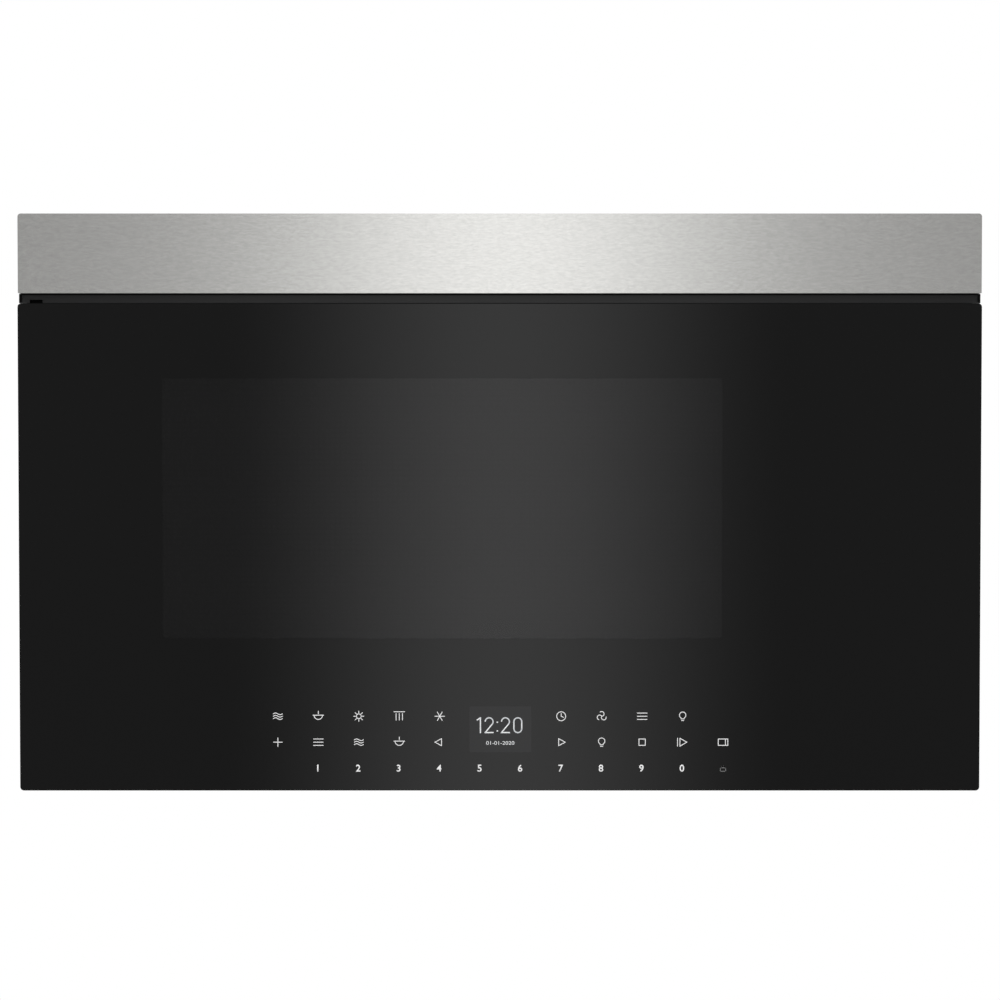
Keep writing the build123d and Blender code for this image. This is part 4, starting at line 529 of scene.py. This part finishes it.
def sign_flower(bm, x, z):
    """A ring with eight short rays."""
    sketch(bm, x, z, circle_points(0, 0, 0.45))
    for degrees in range(0, 360, 45):
        sketch(bm, x, z, [polar(0.65, degrees), polar(0.95, degrees)])


def sign_bowl(bm, x, z):
    """A bowl with its rim and a knob."""
    sketch(bm, x, z, circle_points(0, 0.2, 0.8, 180, 360))
    sketch(bm, x, z, [(-1, 0.2), (1, 0.2)])
    sketch(bm, x, z, [(0, 0.45), (0, 0.95)])


def sign_fan(bm, x, z):
    """Three curved blades."""
    for degrees in (90, 210, 330):
        sketch(bm, x, z, circle_points(*polar(0.45, degrees), 0.45, degrees - 180, degrees + 40, 12))


def sign_lamp(bm, x, z):
    """A bulb over two lines of its cap."""
    sketch(bm, x, z, circle_points(0, 0.2, 0.6, -60, 240))
    sketch(bm, x, z, [(-0.3, -0.5), (0.3, -0.5)])
    sketch(bm, x, z, [(-0.2, -0.8), (0.2, -0.8)])


def sign_clock(bm, x, z):
    """A dial with two hands."""
    sketch(bm, x, z, circle_points(0, 0, 0.85))
    sketch(bm, x, z, [(0, 0.5), (0, 0), (0.4, -0.2)])


def sign_flake(bm, x, z):
    """A star of three crossing lines."""
    for degrees in (0, 60, 120):
        u, v = polar(0.9, degrees)
        sketch(bm, x, z, [(-u, -v), (u, v)])


def sign_grill(bm, x, z):
    """Three bars hanging from a line."""
    for u in (-0.6, 0, 0.6):
        sketch(bm, x, z, [(u, -0.7), (u, 0.5)])
    sketch(bm, x, z, [(-1, 0.85), (1, 0.85)])


def sign_door(bm, x, z):
    """An oven's front with the edge of its door."""
    sketch(bm, x, z, [(-0.9, -0.6), (-0.9, 0.6), (0.9, 0.6), (0.9, -0.6)], True)
    sketch(bm, x, z, [(0.45, -0.6), (0.45, 0.6)])


def sign_lock(bm, x, z):
    """A padlock."""
    sketch(bm, x, z, [(-0.5, -0.6), (-0.5, 0.05), (0.5, 0.05), (0.5, -0.6)], True)
    sketch(bm, x, z, circle_points(0, 0.1, 0.32, 0, 180, 10))


def arrow(bm, x, z, way):
    """An arrow head that points along x, way being 1 or -1."""
    tip, back = x + way * ARROW_TIP, x - way * ARROW_BACK
    stroke(bm, [(tip, z), (back, z + ARROW_HALF), (back, z - ARROW_HALF)], LINE, True)


def sign_left(bm, x, z):
    arrow(bm, x + ARROW_SHIFT, z, -1)


def sign_right(bm, x, z):
    arrow(bm, x, z, 1)


def sign_stop(bm, x, z):
    """A square."""
    sketch(bm, x, z, [(-0.6, -0.6), (0.6, -0.6), (0.6, 0.6), (-0.6, 0.6)], True)


def sign_start(bm, x, z):
    """A triangle after a bar."""
    sketch(bm, x, z, [(-0.5, 0.75), (0.8, 0), (-0.5, -0.75)], True)
    sketch(bm, x, z, [(-0.95, 0.75), (-0.95, -0.75)])


def sign_plus(bm, x, z):
    sketch(bm, x, z, [(-0.8, 0), (0.8, 0)])
    sketch(bm, x, z, [(0, -0.8), (0, 0.8)])


def sign_list(bm, x, z):
    """Three level lines."""
    for v in (-0.6, 0, 0.6):
        sketch(bm, x, z, [(-0.9, v), (0.9, v)])


TOP_SIGNS = {0: sign_wave, 1: sign_bowl, 2: sign_flower, 3: sign_grill, 4: sign_flake, 7: sign_clock,
             8: sign_fan, 9: sign_list, 10: sign_lamp}
MIDDLE_SIGNS = {0: sign_plus, 1: sign_list, 2: sign_wave, 3: sign_bowl, 4: sign_left, 7: sign_right,
                8: sign_lamp, 9: sign_stop, 10: sign_start, 11: sign_door}
LOCK_COLUMN = 11
DIGIT_COLUMN = 1


def key_signs():
    """The signs of the two upper key rows."""
    for row, height, signs in (("top", ROW_TOP, TOP_SIGNS), ("middle", ROW_MIDDLE, MIDDLE_SIGNS)):
        for column, draw in signs.items():
            bm = bmesh.new()
            draw(bm, key_x(column), height)
            legend_piece(f"key_sign_{row}_{column}", bm, LEGEND)
    bm = bmesh.new()
    sign_lock(bm, key_x(LOCK_COLUMN), ROW_BOTTOM)
    legend_piece("key_sign_lock", bm, LEGEND_DIM)


def key_digits():
    """The digits 1 to 9 and 0 along the bottom row."""
    for i in range(10):
        digit = str((i + 1) % 10)
        text_piece(f"key_digit_{digit}", digit, key_x(DIGIT_COLUMN + i) + DIGIT_SHIFT, ROW_BOTTOM,
                   DIGIT_HEIGHT, LEGEND)


key_signs()
key_digits()

# --- clock display ---
DISPLAY_X = (-0.024, 0.025)
DISPLAY_Z = (0.0305, 0.067)
CLOCK_Z = 0.0520
CLOCK_HEIGHT = 0.0117
CLOCK_WIDTH = 0.0062
CLOCK_LINE = 0.00095
CLOCK_PLACES = (-0.0184, -0.0115, 0.0014, 0.0112)
CLOCK_COLON = -0.0019
COLON_DOTS = (0.11, 0.70)
DATE_X = 0.0004
DATE_Z = 0.0379
DATE_HEIGHT = 0.0028
DATE_SQUEEZE = 1.2
DISPLAY_CORNER = 0.001
DISPLAY_THICK = INK_THICK / 4
COLON_HALF = CLOCK_LINE / 9


def display_window():
    """The grey filter window in the glass, a thin plate with round corners."""
    bm = bmesh.new()
    outline = rounded_outline(*DISPLAY_X, *DISPLAY_Z, DISPLAY_CORNER, 4)
    back = [bm.verts.new((x, LEGEND_Y, z)) for x, z in outline]
    face = [bm.verts.new((x, LEGEND_Y - DISPLAY_THICK, z)) for x, z in outline]
    bridge_outlines(bm, [back, face])
    bm.faces.new(back)
    bm.faces.new(face)
    bmesh.ops.recalc_face_normals(bm, faces=bm.faces)
    new_piece("display_window", bm, "door", "display_black", DISPLAY)


def round_zero(x, z, w, h):
    """The line of a tall 0."""
    r = w / 2
    top = circle_points(x + r, z + h - r, r, 0, 180, 12)
    bottom = circle_points(x + r, z + r, r, 180, 360, 12)
    return top + bottom + top[:1]


def round_two(x, z, w, h):
    """The line of a 2 with a round top and a flat foot."""
    r = w / 2
    return circle_points(x + r, z + h - r, r, 170, -35, 14) + [(x, z), (x + w, z)]


def plain_one(x, z, w, h):
    """The line of a 1 with its flag."""
    return [(x + w * 0.1, z + h * 0.86), (x + w * 0.5, z + h), (x + w * 0.5, z)]


def clock_digits():
    """A plain time of day in thin round digits, with a row of small digits under it."""
    bm = bmesh.new()
    z = CLOCK_Z - CLOCK_HEIGHT / 2
    for place, digit in zip(CLOCK_PLACES, (plain_one, round_two, round_two, round_zero)):
        stroke(bm, digit(place, z, CLOCK_WIDTH, CLOCK_HEIGHT), CLOCK_LINE)
    for rise in COLON_DOTS:
        dot = z + rise * CLOCK_HEIGHT
        stroke(bm, [(CLOCK_COLON - COLON_HALF, dot), (CLOCK_COLON + COLON_HALF, dot)], CLOCK_LINE)
    legend_piece("clock_digits", bm, CLOCK)
    text_piece("date_digits", "01-01-2020", DATE_X, DATE_Z, DATE_HEIGHT, CLOCK, bold=0.0,
               squeeze=DATE_SQUEEZE)


display_window()
clock_digits()

# --- perforated screen behind the window ---
HOLE_PITCH = 0.0042
HOLE_RADIUS = 0.0017
# The first and last corner of a hole in degrees, and the sides from one to the other.
HOLE_CORNERS = (30, 330, 5)


def perforated_screen():
    """A sheet of square cells, each with a six sided hole."""
    low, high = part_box("door_screen")
    columns = int((high[0] - low[0]) / HOLE_PITCH)
    rows = int((high[2] - low[2]) / HOLE_PITCH)
    cell_x = (high[0] - low[0]) / columns
    cell_z = (high[2] - low[2]) / rows
    bm = bmesh.new()
    all_rings = []
    rims = []
    for y in (low[1], high[1]):
        corners = [[bm.verts.new((low[0] + i * cell_x, y, low[2] + k * cell_z)) for k in range(rows + 1)]
                   for i in range(columns + 1)]
        rings = []
        for i in range(columns):
            for k in range(rows):
                cx = low[0] + (i + 0.5) * cell_x
                cz = low[2] + (k + 0.5) * cell_z
                ring = [bm.verts.new((x, y, z)) for x, z in circle_points(cx, cz, HOLE_RADIUS, *HOLE_CORNERS)]
                rings.append(ring)
                sw, se = corners[i][k], corners[i + 1][k]
                ne, nw = corners[i + 1][k + 1], corners[i][k + 1]
                a, b, c, d, e, f = ring
                for face in ((se, ne, a, f), (ne, b, a), (ne, nw, c, b), (nw, sw, d, c), (sw, e, d),
                             (sw, se, f, e)):
                    bm.faces.new(face)
        all_rings.append(rings)
        rims.append([column[0] for column in corners[:-1]] + corners[-1][:-1]
                    + [column[-1] for column in corners[:0:-1]] + corners[0][:0:-1])
    for pair in zip(*all_rings):
        bridge_outlines(bm, pair)
    bridge_outlines(bm, rims)
    bmesh.ops.recalc_face_normals(bm, faces=bm.faces)
    screen = new_piece("perforated_screen", bm, "door", "dark_grey_paint", SCREEN_BLACK)
    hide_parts("door_screen")


perforated_screen()

# --- black strips in the gap, a painted shade: on the deflector's end walls and along the steel panel's lower edge ---
SHADE_STRIP_WIDE = 0.0022
SHADE_STRIP_THICK = 0.0006
SHADE_STRIP_FACE = 0.0002
SHADE_STRIP_DROP = 0.0011
SHADE_STRIP_GAP = 0.0001


def gap_painted_shade():
    """Black strips that paint the gap's shade: one down the front of each end wall, and one along the top of
    the gap.
    """
    low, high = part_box("vent_deflector")
    panel_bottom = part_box("vent_panel")[0][2]
    bm = bmesh.new()
    for x0 in (low[0], high[0] - SHADE_STRIP_WIDE):
        add_box(bm, (x0, low[1] - SHADE_STRIP_THICK, low[2]), (x0 + SHADE_STRIP_WIDE, low[1], panel_bottom - SHADE_STRIP_THICK))
    strip_top = panel_bottom - SHADE_STRIP_GAP
    add_box(bm, (low[0] + SHADE_STRIP_WIDE, low[1] - SHADE_STRIP_FACE, strip_top - SHADE_STRIP_DROP),
            (high[0] - SHADE_STRIP_WIDE, low[1] + SHADE_STRIP_THICK, strip_top))
    # These strips are painted shade: black pieces where the gap has only shadow, in the matt black of the
    # hinges.
    new_piece("gap_painted_shade", bm, "chassis", "black_plastic", MATT_BLACK_AND_PAINTED_SHADE)


gap_painted_shade()

# --- grease filters: crossed wires over and under the plate ---
FILTER_EDGE = 0.010
WIRE_PITCH = 0.0045
WIRE_WIDE = 0.0011
WIRE_THICK = 0.0006
WIRE_REACH = 0.1265
# Each layer's height over the filter's lowest point, and the slope of its wires.
WIRE_LAYERS = ((0.0039, 1.0), (0.0032, -1.0), (0.0088, -1.0), (0.0081, 1.0))


def clipped_line(offset, slope, x0, x1, y0, y1):
    """The part of the line y = slope * x + offset that lies in a rectangle, or None."""
    points = []
    for x in (x0, x1):
        y = slope * x + offset
        if y0 <= y <= y1:
            points.append((x, y))
    for y in (y0, y1):
        x = (y - offset) / slope
        if x0 < x < x1:
            points.append((x, y))
    return points[:2] if len(points) >= 2 else None


def add_wire(bm, a, b, z):
    """A flat strand from a to b at height z."""
    along = Vector((b[0] - a[0], b[1] - a[1]))
    if along.length < WIRE_PITCH:
        return
    side = Vector((-along.y, along.x)).normalized() * WIRE_WIDE / 2
    base = [(a[0] + side.x, a[1] + side.y), (b[0] + side.x, b[1] + side.y),
            (b[0] - side.x, b[1] - side.y), (a[0] - side.x, a[1] - side.y)]
    low = [bm.verts.new((x, y, z - WIRE_THICK / 2)) for x, y in base]
    high = [bm.verts.new((x, y, z + WIRE_THICK / 2)) for x, y in base]
    bridge_outlines(bm, [low, high])
    bm.faces.new(low[::-1])
    bm.faces.new(high)


def grease_filter(side):
    """The frame, pins and tab stay as the solid has them, and the wire layers lie on its plate."""
    low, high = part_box("grease_filter_" + side)
    middle_x = (low[0] + high[0]) / 2
    x0, x1 = middle_x - WIRE_REACH, middle_x + WIRE_REACH
    y0, y1 = low[1] + FILTER_EDGE, high[1] - FILTER_EDGE
    step = WIRE_PITCH * math.sqrt(2)
    bm = bmesh.new()
    for depth, slope in WIRE_LAYERS:
        start = min(y0 - slope * x0, y0 - slope * x1)
        stop = max(y1 - slope * x0, y1 - slope * x1)
        for i in range(int((stop - start) / step)):
            line = clipped_line(start + (i + 0.5) * step, slope, x0, x1, y0, y1)
            if line:
                add_wire(bm, *line, low[2] + depth)
    bmesh.ops.recalc_face_normals(bm, faces=bm.faces)
    new_piece("filter_wires_" + side, bm, "filter_" + side, "aluminium", ALUMINIUM)


grease_filter("left")
grease_filter("right")

# --- latch spring: a wound coil ---
COIL_TURNS = 7
COIL_WIRE = 0.0005
COIL_STEPS = 20
COIL_SHARP = math.radians(60)


def latch_coil():
    """The spring over the latch lever, wound from round wire."""
    low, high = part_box("latch_spring")
    centre = (Vector(low) + Vector(high)) / 2
    radius = (high[0] - low[0]) / 2 - COIL_WIRE
    length = high[2] - low[2] - 2 * COIL_WIRE
    curve = bpy.data.curves.new("latch_coil_line", "CURVE")
    curve.dimensions = "3D"
    curve.bevel_depth = COIL_WIRE
    curve.bevel_resolution = 2
    line = curve.splines.new("POLY")
    count = COIL_TURNS * COIL_STEPS + 1
    line.points.add(count - 1)
    for i in range(count):
        angle = 2 * math.pi * i / COIL_STEPS
        z = low[2] + COIL_WIRE + length * i / (count - 1)
        line.points[i].co = (centre.x + radius * math.cos(angle), centre.y + radius * math.sin(angle), z, 1)
    curve.use_fill_caps = True
    bm = mesh_of_curve(bpy.data.objects.new("latch_coil_source", curve))
    coil = new_piece("latch_coil", bm, "latch", "steel", BRIGHT)
    coil.data.shade_smooth()
    coil.data.set_sharp_from_angle(angle=COIL_SHARP)
    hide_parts("latch_spring")


latch_coil()

# --- stage, lights and world ---
FLOOR_Z = -0.5
FLOOR_HALF = 8.0
FLOOR_CENTRE_Y = -0.17
FLOOR_SHADES = (grey(0.78), grey(0.82))
FADE_START = 0.45
FADE_END = 1.2
CARD_Y = -2.9
CARD_HALF = 2.2
CARD_LOW = -1.6
CARD_HIGH = 2.4
CARD_CENTRE = 1.71
CARD_SIDE = 0.35
CARD_REACH = 0.495
CARD_X = 0.012
WORLD_LIGHT = 0.55
LAMP_TARGET = (0, -0.2, 0.2)
# Each lamp's name, place, width and watts.
LAMPS = (("key_light", (-1.3, -1.5, 1.7), 1.4, 22.0),
         ("fill_light", (1.4, -1.1, 1.3), 1.2, 12.0),
         ("back_light", (0.6, 1.5, 1.4), 1.2, 14.0))


def flat_sheet(name, corners, material):
    """One face that the scene uses as its stage."""
    mesh = bpy.data.meshes.new(name)
    mesh.from_pydata(corners, [], [(0, 1, 2, 3)])
    mesh.materials.append(material)
    obj = bpy.data.objects.new(name, mesh)
    bpy.context.scene.collection.objects.link(obj)
    return obj


def smooth_ramp(graph, value, start, end, low=0.0, high=1.0):
    """A soft step from low to high while a value goes from start to end."""
    node = graph.add("ShaderNodeMapRange", interpolation_type="SMOOTHSTEP")
    set_inputs(node, From_Min=start, From_Max=end, To_Min=low, To_Max=high)
    graph.link(value, node.inputs["Value"])
    return node.outputs["Result"]


def mixed(graph, factor, first, second):
    """A shader that goes from the first to the second by a factor."""
    node = graph.add("ShaderNodeMixShader")
    for source, target in zip((factor, first, second), node.inputs):
        graph.link(source, target)
    return node.outputs["Shader"]


def add_floor():
    """A plain pale floor below the view: it fades to white away from the object and is clear from below."""
    n = Nodes("pale_floor")
    n.set(Roughness=0.7)
    n.colour(n.ramp(n.noise(2.0), *FLOOR_SHADES))
    parts = n.add("ShaderNodeSeparateXYZ")
    flat = n.add("ShaderNodeCombineXYZ")
    length = n.add("ShaderNodeVectorMath", operation="LENGTH")
    n.link(n.coords, parts.inputs["Vector"])
    n.link(parts.outputs["X"], flat.inputs["X"])
    n.link(parts.outputs["Y"], flat.inputs["Y"])
    n.link(flat.outputs["Vector"], length.inputs[0])
    white = n.add("ShaderNodeEmission")
    set_inputs(white, Color=grey(1))
    clear = n.add("ShaderNodeBsdfTransparent").outputs["BSDF"]
    fade = smooth_ramp(n, length.outputs["Value"], FADE_START, FADE_END)
    faded = mixed(n, fade, n.shader.outputs["BSDF"], white.outputs["Emission"])
    sided = mixed(n, n.add("ShaderNodeNewGeometry").outputs["Backfacing"], faded, clear)
    n.link(sided, n.tree.nodes["Material Output"].inputs["Surface"])
    size = FLOOR_HALF
    corners = [(-size, -size, 0), (size, -size, 0), (size, size, 0), (-size, size, 0)]
    floor = flat_sheet("floor", corners, n.material)
    floor.location = (0, FLOOR_CENTRE_Y, FLOOR_Z)
    floor.visible_diffuse = False


def add_card():
    """A soft light panel behind the camera, brightest in its middle: it makes the front's broad glow."""
    material = bpy.data.materials.new("light_card")
    material.use_nodes = True
    material.node_tree.nodes.clear()
    graph = Graph(material.node_tree)
    parts = graph.add("ShaderNodeSeparateXYZ")
    distance = graph.add("ShaderNodeMath", operation="ABSOLUTE")
    emission = graph.add("ShaderNodeEmission")
    graph.link(graph.add("ShaderNodeTexCoord").outputs["Object"], parts.inputs["Vector"])
    graph.link(parts.outputs["X"], distance.inputs[0])
    level = smooth_ramp(graph, distance.outputs["Value"], 0.0, CARD_REACH, CARD_CENTRE, CARD_SIDE)
    graph.link(level, emission.inputs["Strength"])
    graph.link(emission.outputs["Emission"], graph.add("ShaderNodeOutputMaterial").inputs["Surface"])
    corners = [(-CARD_HALF, CARD_Y, CARD_LOW), (CARD_HALF, CARD_Y, CARD_LOW), (CARD_HALF, CARD_Y, CARD_HIGH),
               (-CARD_HALF, CARD_Y, CARD_HIGH)]
    card = flat_sheet("light_card", corners, material)
    card.location.x = CARD_X
    card.visible_camera = False


def add_lamp(name, location, size, energy):
    """A square lamp that points at the object and isn't mirrored in it."""
    data = bpy.data.lights.new(name, "AREA")
    data.size = size
    data.energy = energy
    lamp = bpy.data.objects.new(name, data)
    lamp.location = location
    lamp.rotation_euler = (Vector(LAMP_TARGET) - Vector(location)).to_track_quat("-Z", "Y").to_euler()
    bpy.context.scene.collection.objects.link(lamp)
    lamp.visible_glossy = False


def add_world():
    """White where the camera, reflections and glass see it, and a plain grey level of light otherwise."""
    world = bpy.data.worlds.new("studio")
    bpy.context.scene.world = world
    world.use_nodes = True
    world.node_tree.nodes.clear()
    graph = Graph(world.node_tree)
    seen = graph.add("ShaderNodeBackground")
    set_inputs(seen, Color=grey(1))
    light = graph.add("ShaderNodeBackground")
    set_inputs(light, Color=grey(WORLD_LIGHT))
    path = graph.add("ShaderNodeLightPath").outputs
    direct = path["Is Camera Ray"]
    for ray in ("Is Glossy Ray", "Is Transmission Ray"):
        either = graph.add("ShaderNodeMath", operation="MAXIMUM")
        graph.link(direct, either.inputs[0])
        graph.link(path[ray], either.inputs[1])
        direct = either.outputs["Value"]
    surface = mixed(graph, direct, light.outputs["Background"], seen.outputs["Background"])
    graph.link(surface, graph.add("ShaderNodeOutputWorld").inputs["Surface"])


add_floor()
add_card()
for lamp_values in LAMPS:
    add_lamp(*lamp_values)
add_world()

scene = bpy.context.scene
scene.view_settings.view_transform = "Standard"
scene.cycles.max_bounces = 12
scene.cycles.transparent_max_bounces = 24
